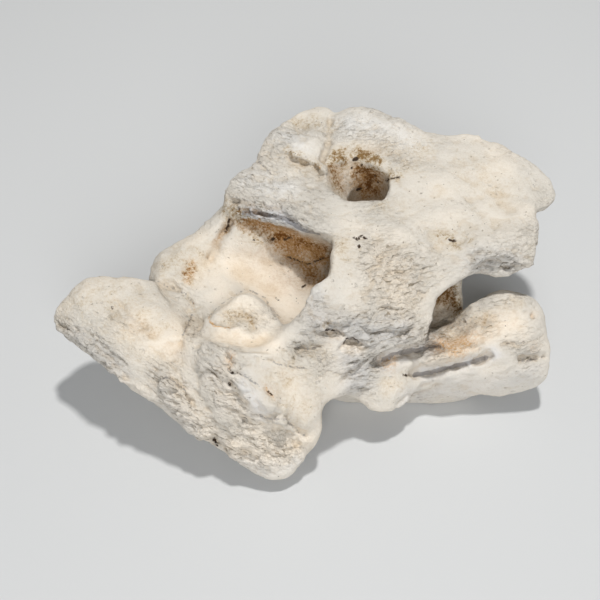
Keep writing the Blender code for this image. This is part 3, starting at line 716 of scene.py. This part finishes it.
def profile(mark: Mark, distance: np.ndarray, side: np.ndarray) -> np.ndarray:
    """Works out how much of a mark's height each place gets.

    Args:
        mark: the mark.
        distance: each place's distance from the mark's line, in metres.
        side: how far each place lies to the left of the line, in metres.

    Returns:
        A share from -1 to 1 for each place.
    """
    reach = distance / (mark.width * MM)
    if mark.form is Form.LUMP:
        return np.exp(-reach**2)
    if mark.form is Form.HOLLOW:
        return -np.exp(-reach**2)
    if mark.form is Form.RIDGE:
        return np.exp(-SHARP_FALL * reach - WIDE_FALL * reach**2)
    if mark.form is Form.CREASE:
        return -np.exp(-SHARP_FALL * reach - WIDE_FALL * reach**2)
    return np.tanh(LEDGE_STEEPNESS * side / (mark.width * MM)) * np.exp(-LEDGE_FALL * reach**2)


def smooth_step(values: np.ndarray, low: float, high: float) -> np.ndarray:
    """Returns 0 below low, 1 above high and a smooth rise between them.

    Args:
        values: the values.
        low: where the rise starts.
        high: where it ends.
    """
    share = np.clip((values - low) / (high - low), 0, 1)
    return share * share * (3 - 2 * share)


def wander(places: np.ndarray, scale: float, reach: float) -> np.ndarray:
    """Returns a smooth random offset for each place, so that what is drawn by it isn't regular.

    Args:
        places: the places, in metres.
        scale: the size of the offset's waves, in millimetres.
        reach: the offset's length, in the unit that is wanted.
    """
    scale *= MM
    return np.array([noise.noise_vector(Vector(place) / scale) for place in places], np.float32) * reach


def pattern_at(pattern: Pattern, place: Vector) -> float:
    """Returns a pattern's height at a place, from about -1 to 1.

    Args:
        pattern: the pattern.
        place: the place, in waves.
    """
    if pattern is Pattern.LUMPS:
        return noise.fractal(place, 1.0, 2.0, 3)
    if pattern is Pattern.CRESTS:
        return 0.6 - 2.0 * abs(noise.noise(place)) - 0.8 * abs(noise.noise(place * 2.1))
    distances, points = noise.voronoi(place)
    nearest = distances[0]
    if pattern is Pattern.STEPS:
        return (place - points[0]).dot(Vector(STEP_FALL)) * (0.8 + 1.4 * abs(noise.cell(points[0] * 3)))
    if pattern is Pattern.SCALES:
        return 2.2 * nearest - 1.0
    return -max(0.0, 1 - (nearest / 0.3) ** 2)


def in_grain(places: np.ndarray, degrees: float) -> np.ndarray:
    """Returns places turned and squeezed, so that what is even there is drawn out along the grain here.

    Args:
        places: the places, in metres.
        degrees: the way the grain runs, from +X.
    """
    turn = np.array(Matrix.Rotation(math.radians(-degrees), 3, "Z"))
    return places @ turn.T / np.array(GRAIN_STRETCH) / MM


@dataclass
class Stone:
    """The rock: its fine mesh, the shapes drawn on it and its rough ground. Lengths are in millimetres."""

    viewpoint: Viewpoint
    merged_within: float = 0.01
    first_voxel: float = 1.1
    second_voxel: float = 0.6
    triangles: int = 198_000
    drift_waves: float = 7.0
    drift: float = 2.6
    fine_drift_waves: float = 2.4
    fine_drift: float = 1.4
    break_waves: float = 5.0
    unbroken: float = 0.85
    broken: float = 0.9
    break_limits: tuple[float, float] = (0.35, 1.4)
    mark_reach: float = 4.0
    zone_waves: float = 22.0
    zone_swing: float = 0.6
    smooth_ground: float = 0.26
    smoothest_ground: float = 0.06
    hidden_ground: float = 0.4
    hidden_slopes: tuple[float, float] = (-0.1, 0.3)
    ground_drift_waves: float = 6.0
    ground_drift: float = 2.5
    ground_shows_above: float = 2.5
    foot_height: float = 0.35
    weight_steps: int = 200
    piece: bpy.types.Object = field(init=False)
    zones: dict[Zone, np.ndarray] = field(default_factory=dict)

    def build(self, solid: bpy.types.Object) -> bpy.types.Object:
        """Makes the rock's mesh.

        Args:
            solid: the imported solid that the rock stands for.

        Returns:
            The rock's object.
        """
        low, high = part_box(solid.name)
        self.copy_solid(solid)
        self.draw(BROAD_MARKS)
        self.remesh(self.second_voxel)
        self.draw(FINE_MARKS)
        self.draw(PITS)
        for axis, zone in enumerate(ZONES):
            self.lay_out(zone, axis)
        self.raise_ground()
        self.thin_out()
        self.flatten_feet()
        self.fit(low, high)
        bpy.ops.object.shade_smooth()
        return self.piece

    def copy_solid(self, solid: bpy.types.Object) -> None:
        """Copies the solid, closes the copy and rounds off its facets.

        Args:
            solid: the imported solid.
        """
        pick(solid)
        bpy.ops.object.duplicate()
        self.piece = bpy.context.object
        self.piece.name = "weathered_rock"
        self.piece.parent = None
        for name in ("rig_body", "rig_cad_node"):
            del self.piece[name]
        pick(self.piece)
        bpy.ops.object.mode_set(mode="EDIT")
        bpy.ops.mesh.select_all(action="SELECT")
        bpy.ops.mesh.remove_doubles(threshold=self.merged_within * MM)
        bpy.ops.object.mode_set(mode="OBJECT")
        self.piece.data.materials.clear()
        apply_modifier(self.piece, "SUBSURF", levels=1, render_levels=1)
        self.remesh(self.first_voxel)
        apply_modifier(self.piece, "SMOOTH", factor=0.5, iterations=2)

    def remesh(self, voxel: float) -> None:
        """Rebuilds the mesh from even cells.

        Args:
            voxel: the cells' size.
        """
        apply_modifier(self.piece, "REMESH", mode="VOXEL", voxel_size=voxel * MM)

    def group(self, name: str, weights: np.ndarray) -> None:
        """Stores weights as a vertex group.

        Args:
            name: the group's name.
            weights: one weight from 0 to 1 for each vertex.
        """
        old = self.piece.vertex_groups.get(name)
        if old:
            self.piece.vertex_groups.remove(old)
        group = self.piece.vertex_groups.new(name=name)
        steps = np.round(weights * self.weight_steps).astype(int)
        for step in np.unique(steps[steps > 0]):
            group.add(np.flatnonzero(steps == step).tolist(), float(step) / self.weight_steps, "REPLACE")

    def draw(self, marks: dict[str, Mark]) -> None:
        """Raises and cuts the mesh along each mark's line.

        Args:
            marks: the marks by name.
        """
        draftsman = Draftsman(self.viewpoint, self.piece)
        places, normals = read_vectors(self.piece, "co"), read_vectors(self.piece, "normal")
        drifted = places + wander(places, self.drift_waves, self.drift * MM)
        drifted += wander(places, self.fine_drift_waves, self.fine_drift * MM)
        breaks = wander(places, self.break_waves, 1.0)[:, 2]
        uneven = np.clip(self.unbroken + self.broken * breaks, *self.break_limits)
        heights = np.zeros(len(places), np.float32)
        for name, mark in marks.items():
            line = draftsman.trace(mark.path)
            if not len(line):
                LOG.warning("mark %s misses the stone", name)
                continue
            reach = self.mark_reach * mark.width * MM
            share = min(1.0, 2 * mark.width / self.drift_waves)
            moved = places + (drifted - places) * share
            near = np.flatnonzero(((moved > line.min(0) - reach) & (moved < line.max(0) + reach)).all(1))
            distance, offset, along = nearest_on(line, moved[near])
            side = np.einsum("ij,ij->i", np.cross(normals[near], along), offset)
            heights[near] += mark.height * profile(mark, distance, side) * uneven[near]
        self.shift(heights)

    def shift(self, heights: np.ndarray) -> None:
        """Moves each vertex out along its normal, and leaves the feet as they are.

        Args:
            heights: how far.
        """
        above = read_vectors(self.piece, "co")[:, 2] / MM
        heights = heights * smooth_step(above, self.foot_height, self.ground_shows_above)
        for name, side in (("raised", 1), ("carved", -1)):
            wanted = heights * side
            most = float(wanted.max())
            if most > 0:
                self.group(name, np.clip(wanted / most, 0, 1))
                strength = side * most * MM
                apply_modifier(self.piece, "DISPLACE", strength=strength, mid_level=0, vertex_group=name)

    def lay_out(self, zone: Zone, axis: int) -> None:
        """Works out how strong a zone is, over waves of its own, and keeps it as a vertex group.

        The side that the frame doesn't show is rougher in the group, which the finish reads.

        Args:
            zone: the zone.
            axis: which part of the random offset its waves are.
        """
        draftsman = Draftsman(self.viewpoint, self.piece)
        places = read_vectors(self.piece, "co")
        waves = wander(places, self.zone_waves, 1.0)[:, axis]
        values = np.clip(self.smooth_ground + self.zone_swing * waves, self.smoothest_ground, 1)
        for spot in ZONES[zone]:
            distance = nearest_on(draftsman.trace(spot.path), places)[0]
            values += (spot.strength - values) * np.exp(-((distance / (spot.width * MM)) ** 2))
        self.zones[zone] = np.clip(values, 0, 1)
        slopes = read_vectors(self.piece, "normal") @ np.array(self.viewpoint.back())
        hidden = 1 - smooth_step(slopes, *self.hidden_slopes)
        self.group(zone.value, np.clip(values + self.hidden_ground * hidden, 0, 1))

    def raise_ground(self) -> None:
        """Raises every scale of rough ground."""
        places = read_vectors(self.piece, "co")
        drifted = places + wander(places, self.ground_drift_waves, self.ground_drift * MM)
        right = smooth_step(places[:, 0] / MM, *GRAIN_CHANGE)
        heights = np.zeros(len(places), np.float32)
        for degrees, side in zip(GRAIN_TURNS, (1 - right, right)):
            grained = in_grain(drifted, degrees)
            for ground in GROUNDS:
                share = self.zones.get(ground.zone, 1.0)
                waves = [Vector(place) for place in grained / ground.waves]
                found = np.array([pattern_at(ground.pattern, wave) for wave in waves], np.float32)
                heights += found * ground.height / 2 * share * side
        self.shift(heights)

    def thin_out(self) -> None:
        """Takes triangles away where the stone is smooth."""
        self.piece.data.calc_loop_triangles()
        count = len(self.piece.data.loop_triangles)
        LOG.info("%d triangles before thinning out", count)
        if count > self.triangles:
            apply_modifier(self.piece, "DECIMATE", ratio=self.triangles / count)

    def flatten_feet(self) -> None:
        """Presses the undersides of the feet onto the ground."""
        pick(self.piece)
        low = read_vectors(self.piece, "co")[:, 2] < self.foot_height * MM
        self.piece.data.vertices.foreach_set("select", low)
        bpy.ops.object.mode_set(mode="EDIT")
        bpy.ops.transform.resize(value=(1, 1, 0), center_override=(0, 0, 0))
        bpy.ops.object.mode_set(mode="OBJECT")

    def fit(self, low: Vector, high: Vector) -> None:
        """Shrinks the rock, where it has to, into the solid's box.

        Args:
            low: the box's lowest corner.
            high: its highest corner.
        """
        places = read_vectors(self.piece, "co")
        over = places.max(0) / np.array(high)
        over[:2] = np.maximum(over, places.min(0) / np.array(low))[:2]
        pick(self.piece)
        bpy.ops.transform.resize(value=tuple(1 / max(1.0, float(share)) for share in over))
        bpy.ops.object.transform_apply(location=True, rotation=True, scale=True)


@dataclass
class Painter:
    """Paints the stone's hollows, its stains and its spots and lines of painted shade and painted light as
    attributes, which the finish reads.

    Lengths are in millimetres. A hollowness is a number of smoothing rounds and a depth that counts as 1.
    """

    viewpoint: Viewpoint
    piece: bpy.types.Object
    drift_waves: float = 5.0
    drift: float = 2.0
    ink_waves: float = 2.0
    ink_drift: float = 0.5
    far_from_ink: float = 5.0
    pore: tuple[int, float] = (5, 0.16)
    hollow: tuple[int, float] = (90, 1.3)

    def paint(self) -> None:
        """Stores every attribute."""
        self.store("pore", self.hollowness(*self.pore))
        self.store("roughness", self.group_weights(Zone.ROUGH.value))
        self.store("hollow", self.hollowness(*self.hollow))
        draftsman = Draftsman(self.viewpoint, self.piece)
        places = read_vectors(self.piece, "co")
        drifted = places + wander(places, self.drift_waves, self.drift * MM)
        for tint, spots in STAINS.items():
            values = np.zeros(len(places), np.float32)
            for spot in spots:
                distance = nearest_on(draftsman.trace(spot.path), drifted)[0]
                values = np.maximum(values, spot.strength * np.exp(-((distance / (spot.width * MM)) ** 2)))
            self.store(tint.value, values)
        nudged = places + wander(places, self.ink_waves, self.ink_drift * MM)
        for ink, lines in INK_LINES.items():
            gap = np.full(len(places), self.far_from_ink, np.float32)
            for line in lines:
                distance = nearest_on(draftsman.trace(line.path), nudged)[0]
                gap = np.minimum(gap, distance / MM - line.width)
            self.store(ink.value, gap)

    def store(self, name: str, values: np.ndarray) -> None:
        """Stores one attribute.

        Args:
            name: its name.
            values: one value for each vertex.
        """
        attribute = self.piece.data.attributes.new(name, "FLOAT", "POINT")
        attribute.data.foreach_set("value", values.astype(np.float32))

    def group_weights(self, name: str) -> np.ndarray:
        """Reads a vertex group.

        Args:
            name: the group's name.

        Returns:
            Its weight at each vertex.
        """
        index = self.piece.vertex_groups[name].index
        weights = np.zeros(len(self.piece.data.vertices), np.float32)
        for vertex in self.piece.data.vertices:
            for member in vertex.groups:
                if member.group == index:
                    weights[vertex.index] = member.weight
        return weights

    def hollowness(self, rounds: int, depth: float) -> np.ndarray:
        """Works out how far each vertex lies under the smoothed surface.

        Args:
            rounds: how often the surface is smoothed.
            depth: the depth that counts as 1, as its height counts as -1.

        Returns:
            A value from -1 to 1 for each vertex.
        """
        places, normals = read_vectors(self.piece, "co"), read_vectors(self.piece, "normal")
        edges = np.empty(len(self.piece.data.edges) * 2, np.int32)
        self.piece.data.edges.foreach_get("vertices", edges)
        ends = edges.reshape(-1, 2)
        one_end, other_end = np.concatenate([ends, ends[:, ::-1]]).T
        count = np.maximum(np.bincount(one_end, minlength=len(places)), 1)
        smoothed = places.astype(float)
        for _ in range(rounds):
            sums = [np.bincount(one_end, smoothed[other_end, axis], len(places)) for axis in range(3)]
            smoothed = 0.5 * smoothed + 0.5 * np.stack(sums, 1) / count[:, None]
        under = np.einsum("ij,ij->i", smoothed - places, normals) / MM
        return np.clip(under / depth, -1, 1)


class Graph:
    """A material's nodes, with a short call for each kind that the finish uses. Sizes are in millimetres."""

    def __init__(self, material: bpy.types.Material) -> None:
        """Empties the material's nodes and adds the coordinates, in millimetres.

        Args:
            material: the material.
        """
        material.use_nodes = True
        self.tree = material.node_tree
        self.tree.nodes.clear()
        coordinates = self.add("TexCoord", {}).outputs["Object"]
        self.place = self.add("VectorMath", {0: coordinates, "Scale": 1 / MM}, operation="SCALE").outputs[0]

    def add(self, kind: str, inputs: dict[int | str, object], **settings: object) -> bpy.types.Node:
        """Adds a node.

        Args:
            kind: Blender's name for the node, without its usual start.
            inputs: a value or an output for each input that is set, by the input's name or number.
            settings: the node's own settings by name.
        """
        node = self.tree.nodes.new("ShaderNode" + kind)
        for name, value in settings.items():
            setattr(node, name, value)
        for key, value in inputs.items():
            if isinstance(value, Socket):
                self.tree.links.new(value, node.inputs[key])
            else:
                node.inputs[key].default_value = value
        return node

    def attribute(self, name: str) -> Socket:
        """Returns the value of one of the piece's attributes."""
        return self.add("Attribute", {}, attribute_name=name).outputs["Fac"]

    def grained(self, degrees: float) -> Socket:
        """Returns the coordinates bent a little, then turned and squeezed along the stone's grain.

        Args:
            degrees: the way the grain runs, from +X.
        """
        waves = self.add("TexNoise", {"Vector": self.place, "Scale": 0.3, "Detail": 4}).outputs["Color"]
        bent = self.add("VectorMath", {0: waves, 1: GRAIN_BEND, 2: self.place}, operation="MULTIPLY_ADD")
        turn = (0, 0, math.radians(degrees))
        inputs = {"Vector": bent.outputs[0], "Rotation": turn, "Scale": GRAIN_STRETCH}
        return self.add("Mapping", inputs, vector_type="TEXTURE").outputs["Vector"]

    def noise(
        self, size: float, detail: float = 3, rough: float = 0.5, warp: float = 0, place: Socket | None = None
    ) -> Socket:
        """Returns a noise of about 0.5.

        Args:
            size: the size of its waves.
            detail: how many finer waves are added.
            rough: how strong those are.
            warp: how far it is bent.
            place: the coordinates, if not the plain ones.
        """
        inputs = {"Vector": place or self.place, "Scale": 1 / size, "Detail": detail, "Roughness": rough}
        return self.add("TexNoise", inputs | {"Distortion": warp}).outputs["Fac"]

    def cells(self, size: float, place: Socket | None = None) -> tuple[Socket, Socket, Socket]:
        """Scatters points.

        Args:
            size: the points' spacing.
            place: the coordinates, if not the plain ones.

        Returns:
            The distance to the nearest point, that point's own even value from 0 to 1, and its place.
        """
        node = self.add("TexVoronoi", {"Vector": place or self.place, "Scale": 1 / size})
        parts = self.add("SeparateColor", {"Color": node.outputs["Color"]})
        return node.outputs["Distance"], parts.outputs["Red"], node.outputs["Position"]

    def steps(self, size: float) -> tuple[Socket, Socket]:
        """Returns the height of small tilted plates that break off in steps, and each plate's own value.

        Args:
            size: the plates' size.
        """
        found = []
        for degrees in GRAIN_TURNS:
            place = self.grained(degrees)
            _, own, middle = self.cells(size, place)
            apart = self.add("VectorMath", {0: place, 1: middle}, operation="SUBTRACT").outputs[0]
            along = self.add("VectorMath", {0: apart, 1: STEP_FALL}, operation="DOT_PRODUCT")
            found.append((along.outputs["Value"], own))
        right = self.ramp(self.add("SeparateXYZ", {0: self.place}).outputs["X"], *GRAIN_CHANGE)
        height, value = (
            self.total(left, self.product(right, self.math("SUBTRACT", other, left)))
            for left, other in zip(*found)
        )
        return height, value

    def math(self, operation: str, first: object, second: object = 0.0) -> Socket:
        """Returns the result of one sum.

        Args:
            operation: Blender's name for it.
            first: a number or an output.
            second: a number or an output.
        """
        return self.add("Math", {0: first, 1: second}, operation=operation).outputs[0]

    def product(self, first: object, *others: object) -> Socket:
        """Returns the product of numbers and outputs."""
        for other in others:
            first = self.math("MULTIPLY", first, other)
        return first

    def total(self, first: object, *others: object) -> Socket:
        """Returns the sum of numbers and outputs."""
        for other in others:
            first = self.math("ADD", first, other)
        return first

    def ramp(self, value: Socket, low: float, high: float) -> Socket:
        """Returns 0 where a value is low and 1 where it is high, with a smooth rise between them.

        Args:
            value: the value.
            low: where the rise starts.
            high: where it ends.
        """
        inputs = {"Value": value, "From Min": low, "From Max": high}
        return self.add("MapRange", inputs, interpolation_type="SMOOTHSTEP").outputs["Result"]

    def fall(self, value: Socket, low: float, high: float) -> Socket:
        """Returns 1 where a value is low and 0 where it is high, as the other way round of a ramp."""
        return self.math("SUBTRACT", 1.0, self.ramp(value, low, high))

    def mix(self, share: object, first: object, second: object) -> Socket:
        """Returns a colour between two.

        Args:
            share: how much of the second, from 0 to 1.
            first: a colour or an output.
            second: a colour or an output.
        """
        return self.add("Mix", {0: share, 6: first, 7: second}, data_type="RGBA").outputs[2]

    def tint(self, share: object, under: object, tint: Colour) -> Socket:
        """Returns a colour multiplied by a tint.

        Args:
            share: how much of the tint, from 0 to 1.
            under: a colour or an output.
            tint: the tint.
        """
        inputs = {0: share, 6: under, 7: tint}
        return self.add("Mix", inputs, data_type="RGBA", blend_type="MULTIPLY").outputs[2]


@dataclass(frozen=True)
class Limestone:
    """The finish of the stone: chalky, warmer in its hollows, stained and finely pitted.

    Seven tints multiply what they lie on: the grey for grain, the grey of shade, the brown, the haze, the
    grains, the rust and the groove grey. Shade and the groove grey are painted shade; the grey for grain, the
    brown, the haze and the grains are painted shade in some places.
    Each size of plates has its own depth. Sizes and depths are in millimetres.
    """

    chalk: Colour = (0.745, 0.69, 0.605, 1)
    # The stone's warm colour, and painted light on two pit floors.
    cream_and_light: Colour = (0.99, 0.87, 0.715, 1)
    white: Colour = (0.86, 0.835, 0.79, 1)
    # Painted shade, grey-blue as with reflected light.
    blue_shade: Colour = (0.74, 0.75, 0.78, 1)
    # Darkens the grain, and is painted shade in the pores and hollows.
    dust_and_shade: Colour = (0.86, 0.81, 0.74, 1)
    shade: Colour = (0.5, 0.465, 0.41, 1)
    # Brown of stains, and painted shade in the eye, on the basin's wall and on the inner wall.
    dirt_and_shade: Colour = (0.58, 0.38, 0.2, 1)
    haze: Colour = (0.76, 0.64, 0.45, 1)
    grains: Colour = (0.42, 0.32, 0.2, 1)
    rust: Colour = (0.86, 0.6, 0.36, 1)
    # Painted shade along creases.
    groove: Colour = (0.54, 0.54, 0.56, 1)
    # Black of specks, cracks and dots, and painted shadow under two small rims.
    near_black: Colour = (0.06, 0.038, 0.024, 1)
    plates: tuple[tuple[float, float], ...] = ((1.7, 1.15), (0.95, 0.75))
    grain_size: float = 0.8
    grain_depth: float = 0.5
    crest_size: float = 1.8
    prick_spacing: float = 2.6
    prick_share: float = 0.4
    prick_depth: float = 0.45
    # Short strokes of painted shadow, as cast by small steps.
    peck_shade_spacing: float = 1.9
    peck_shade_share: float = 0.14
    speck_spacing: float = 1.5
    speck_share: float = 0.015
    painted_speck_share: float = 0.3
    roughness: float = 0.95
    gloss: float = 0.15

    def material(self) -> bpy.types.Material:
        """Returns the finish as a material."""
        made = bpy.data.materials.new("chalky limestone")
        graph = Graph(made)
        bump = graph.add("Bump", {"Distance": MM, "Strength": 1.0, "Height": self.relief(graph)})
        inputs = {
            "Base Color": self.colour(graph),
            "Normal": bump.outputs["Normal"],
            "Roughness": self.roughness,
            "Specular IOR Level": self.gloss,
        }
        shader = graph.add("BsdfPrincipled", inputs)
        graph.add("OutputMaterial", {"Surface": shader.outputs["BSDF"]})
        made.diffuse_color = self.chalk
        return made

    def relief(self, graph: Graph) -> Socket:
        """Adds up the fine relief: pecked scales where the stone is rough, short pricks, and a chalky grain.

        Args:
            graph: the material's nodes.

        Returns:
            The height in millimetres.
        """
        rough = graph.ramp(graph.attribute("roughness"), 0.1, 0.9)
        height = graph.product(graph.noise(self.grain_size, 5, 0.7), self.grain_depth)
        for size, depth in self.plates:
            steps, own = graph.steps(size)
            share = graph.product(graph.ramp(own, 0.15, 1.0), rough, depth)
            height = graph.total(height, graph.product(steps, share))
        grained = graph.grained(GRAIN_TURNS[0])
        crests = graph.noise(self.crest_size, 6, 0.7, 0, grained)
        height = graph.total(height, graph.product(crests, graph.total(graph.product(rough, 1.1), 0.45)))
        distance, own, _ = graph.cells(self.prick_spacing, grained)
        chosen = graph.math("LESS_THAN", own, self.prick_share)
        pricks = graph.product(graph.fall(distance, 0.05, 0.22), chosen, self.prick_depth)
        return graph.math("SUBTRACT", height, pricks)

    def colour(self, graph: Graph) -> Socket:
        """Lays the stone's ground, its grain, its stains and its inks over one another, with painted shade
        among them.

        Args:
            graph: the material's nodes.

        Returns:
            The colour.
        """
        patchy = graph.noise(6, 4, 0.6, 0.6)
        fine = graph.noise(1.1, 4, 0.75)
        colour = self.grain_and_shade(graph, self.ground(graph, patchy), fine)
        rust = graph.product(graph.attribute(Tint.RUST.value), graph.ramp(fine, 0.3, 0.65))
        colour = graph.tint(rust, colour, self.rust)
        hollow = graph.ramp(graph.attribute("hollow"), -0.5, 0.0)
        settled = graph.product(hollow, graph.ramp(patchy, -0.3, 0.4))
        mottled = graph.total(graph.ramp(fine, 0.35, 0.7), 0.7)
        # Brown stains, with painted shade in the eye, on the basin's wall and on the inner wall seen through
        # the gap.
        dirt_and_shade = graph.product(graph.attribute(Tint.DIRT.value), settled, mottled)
        # Brown haze and grains, painted shade in a few deep places.
        colour = self.grime_and_shade(graph, graph.tint(dirt_and_shade, colour, self.dirt_and_shade), patchy, fine)
        # Painted shade: grey along creases and under ledges.
        colour = graph.tint(self.ink(graph, Ink.CRACK, fine), colour, self.groove)
        colour = graph.tint(self.ink(graph, Ink.RUSTY, fine), colour, self.rust)
        # Black cracks and dots, and painted shadow under the rims of the bridge's slit and hole.
        colour = graph.mix(self.ink(graph, Ink.DARK, fine), colour, self.near_black)
        return graph.mix(self.specks(graph), colour, self.near_black)

    def ground(self, graph: Graph, patchy: Socket) -> Socket:
        """Builds the stone's ground: chalk, with a warm pale colour and white where they are painted, painted
        light on two pit floors, and painted shade in the hollows and where the grey-blue spots lie.

        Args:
            graph: the material's nodes.
            patchy: a noise of a few millimetres.

        Returns:
            The colour.
        """
        warm = graph.product(graph.ramp(graph.noise(24, 2, 0.5, 0.4), 0.4, 0.7), 0.35)
        # The stone's warm colour, and painted light where its spots stand for it.
        warm = graph.math("MAXIMUM", warm, graph.attribute(Tint.CREAM.value))
        colour = graph.mix(warm, self.chalk, self.cream_and_light)
        # Painted shade: darker in the hollows.
        hollow_shade = graph.product(graph.ramp(graph.attribute("hollow"), -0.3, 1.6), 0.3)
        colour = graph.tint(hollow_shade, colour, self.dust_and_shade)
        white = graph.product(graph.attribute(Tint.CHALK.value), graph.ramp(patchy, 0.2, 0.6))
        colour = graph.mix(white, colour, self.white)
        # Painted shade: grey-blue where the shade spots lie.
        return graph.mix(graph.product(graph.attribute(Tint.SLATE.value), 0.5), colour, self.blue_shade)

    def grain_and_shade(self, graph: Graph, colour: Socket, fine: Socket) -> Socket:
        """Darkens the stone's grain, and paints shade into its pores, under the steps of its plates and in
        short pecks that stand for the shadows of small steps.

        Args:
            graph: the material's nodes.
            colour: what they lie on.
            fine: a noise of about a millimetre.

        Returns:
            The colour.
        """
        colour = graph.tint(graph.product(graph.ramp(fine, 0.48, 0.72), 0.42), colour, self.dust_and_shade)
        # Painted shade in the pores.
        pores = graph.product(graph.ramp(graph.attribute("pore"), 0.0, 1.0), 0.5)
        colour = graph.tint(pores, colour, self.dust_and_shade)
        # Painted shade on the low side of each plate's step.
        steps, own = graph.steps(self.plates[0][0])
        rough = graph.ramp(graph.attribute("roughness"), 0.15, 0.8)
        under = graph.product(graph.fall(steps, -0.7, -0.32), own, rough)
        colour = graph.tint(under, colour, self.shade)
        # Painted shadow: short dark strokes, as cast by small steps.
        distance, own, _ = graph.cells(self.peck_shade_spacing, graph.grained(GRAIN_TURNS[1]))
        ragged = graph.total(distance, graph.product(fine, 0.5))
        chosen = graph.math("LESS_THAN", own, self.peck_shade_share)
        return graph.tint(graph.product(graph.fall(ragged, 0.34, 0.46), chosen, 0.8), colour, self.shade)

    def grime_and_shade(self, graph: Graph, colour: Socket, patchy: Socket, fine: Socket) -> Socket:
        """Lays the painted brown stain on as a thin haze, with dark grains where it is thick; in a few deep
        places it is painted shade.

        Args:
            graph: the material's nodes.
            colour: what it lies on.
            patchy: a noise of a few millimetres.
            fine: a noise of about a millimetre.

        Returns:
            The colour with the grime.
        """
        settled = graph.product(graph.ramp(graph.attribute("hollow"), 0.2, 1.0), 0.12)
        painted = graph.math("MAXIMUM", graph.attribute(Tint.GRIME.value), settled)
        painted = graph.product(painted, graph.total(graph.ramp(patchy, 0.35, 0.65), 0.25))
        mottled = graph.total(graph.ramp(fine, 0.38, 0.62), 0.35)
        colour = graph.tint(graph.product(painted, mottled), colour, self.haze)
        thick = graph.total(graph.product(painted, 0.5), graph.product(fine, 1.6))
        share = graph.product(graph.ramp(thick, 0.95, 1.55), graph.ramp(painted, 0.1, 0.6))
        return graph.tint(share, colour, self.grains)

    def ink(self, graph: Graph, ink: Ink, fine: Socket) -> Socket:
        """Draws the thin lines and dots of one ink.

        Args:
            graph: the material's nodes.
            ink: the ink.
            fine: a noise of about a millimetre.

        Returns:
            The ink's share of the colour.
        """
        ragged = graph.total(graph.attribute(ink.value), graph.product(fine, 2.0))
        return graph.fall(ragged, 0.85, 1.3)

    def specks(self, graph: Graph) -> Socket:
        """Scatters black specks, thickly where they are painted and thinly elsewhere.

        Args:
            graph: the material's nodes.

        Returns:
            The specks' share of the colour.
        """
        distance, own, _ = graph.cells(self.speck_spacing)
        ragged = graph.total(distance, graph.product(graph.noise(0.6, 2), 0.3))
        painted = graph.product(graph.attribute(Tint.SPECKS.value), self.painted_speck_share)
        chosen = graph.math("LESS_THAN", own, graph.total(painted, self.speck_share))
        return graph.product(graph.fall(ragged, 0.22, 0.34), chosen, 0.8)


@dataclass(frozen=True)
class Lamp:
    """One soft light of the studio: its lean from upright in degrees, its distance, width and power."""

    name: str
    lean_right: float
    lean_back: float
    distance: float
    width: float
    power: float
    colour: tuple[float, float, float] = (1, 1, 1)

    def add(self, target: Vector) -> None:
        """Adds the light, turned to the rock.

        Args:
            target: what it is turned to.
        """
        lean = (math.tan(math.radians(self.lean_right)), math.tan(math.radians(self.lean_back)), 1)
        direction = Vector(lean).normalized()
        bpy.ops.object.light_add(type="AREA", location=target + direction * self.distance)
        light = bpy.context.object
        light.name = self.name
        light.rotation_mode = "QUATERNION"
        light.rotation_quaternion = direction.to_track_quat("Z", "Y")
        light.data.shape = "DISK"
        light.data.size = self.width
        light.data.energy = self.power
        light.data.color = self.colour


@dataclass(frozen=True)
class Studio:
    """A pale floor, a pale surround and soft lights."""

    floor_width: float = 6.0
    floor_colour: Colour = (0.62, 0.62, 0.61, 1)
    floor_roughness: float = 0.9
    surround: Colour = (0.92, 0.96, 1, 1)
    surround_strength: float = 0.17
    lamps: tuple[Lamp, ...] = (
        Lamp("key", 5, 13, 1.4, 0.12, 13.2),
        Lamp("fill", 6, -58, 1.1, 0.8, 8.0, (0.95, 0.97, 1)),
    )

    def build(self, target: Vector) -> None:
        """Adds the floor, the surround and the lights.

        Args:
            target: what the lights are turned to.
        """
        deselect_all()
        bpy.ops.mesh.primitive_plane_add(size=self.floor_width)
        floor = bpy.context.object
        floor.name = "floor"
        paint = bpy.data.materials.new("pale floor")
        paint.use_nodes = True
        shader = paint.node_tree.nodes["Principled BSDF"]
        shader.inputs["Base Color"].default_value = self.floor_colour
        shader.inputs["Roughness"].default_value = self.floor_roughness
        floor.data.materials.append(paint)
        world = bpy.data.worlds.new("surround")
        world.use_nodes = True
        background = world.node_tree.nodes["Background"]
        background.inputs["Color"].default_value = self.surround
        background.inputs["Strength"].default_value = self.surround_strength
        bpy.context.scene.world = world
        for lamp in self.lamps:
            lamp.add(target)


def main() -> None:
    """Builds the rock and the studio round it."""
    logging.basicConfig(level=logging.INFO, format="%(name)s: %(message)s")
    noise.seed_set(NOISE_SEED)
    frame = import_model()
    solid = frame["nodes"]["rock"]
    viewpoint = Viewpoint()
    rock = Stone(viewpoint).build(solid)
    Painter(viewpoint, rock).paint()
    rock.data.materials.append(Limestone().material())
    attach(rock, "root")
    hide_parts(solid.name)
    LOG.info("%s: %d faces", rock.name, len(rock.data.polygons))
    Studio().build(Vector(viewpoint.target))
    viewpoint.add_camera()
    bpy.context.scene.view_settings.view_transform = "Standard"


if __name__ == "__main__":
    main()
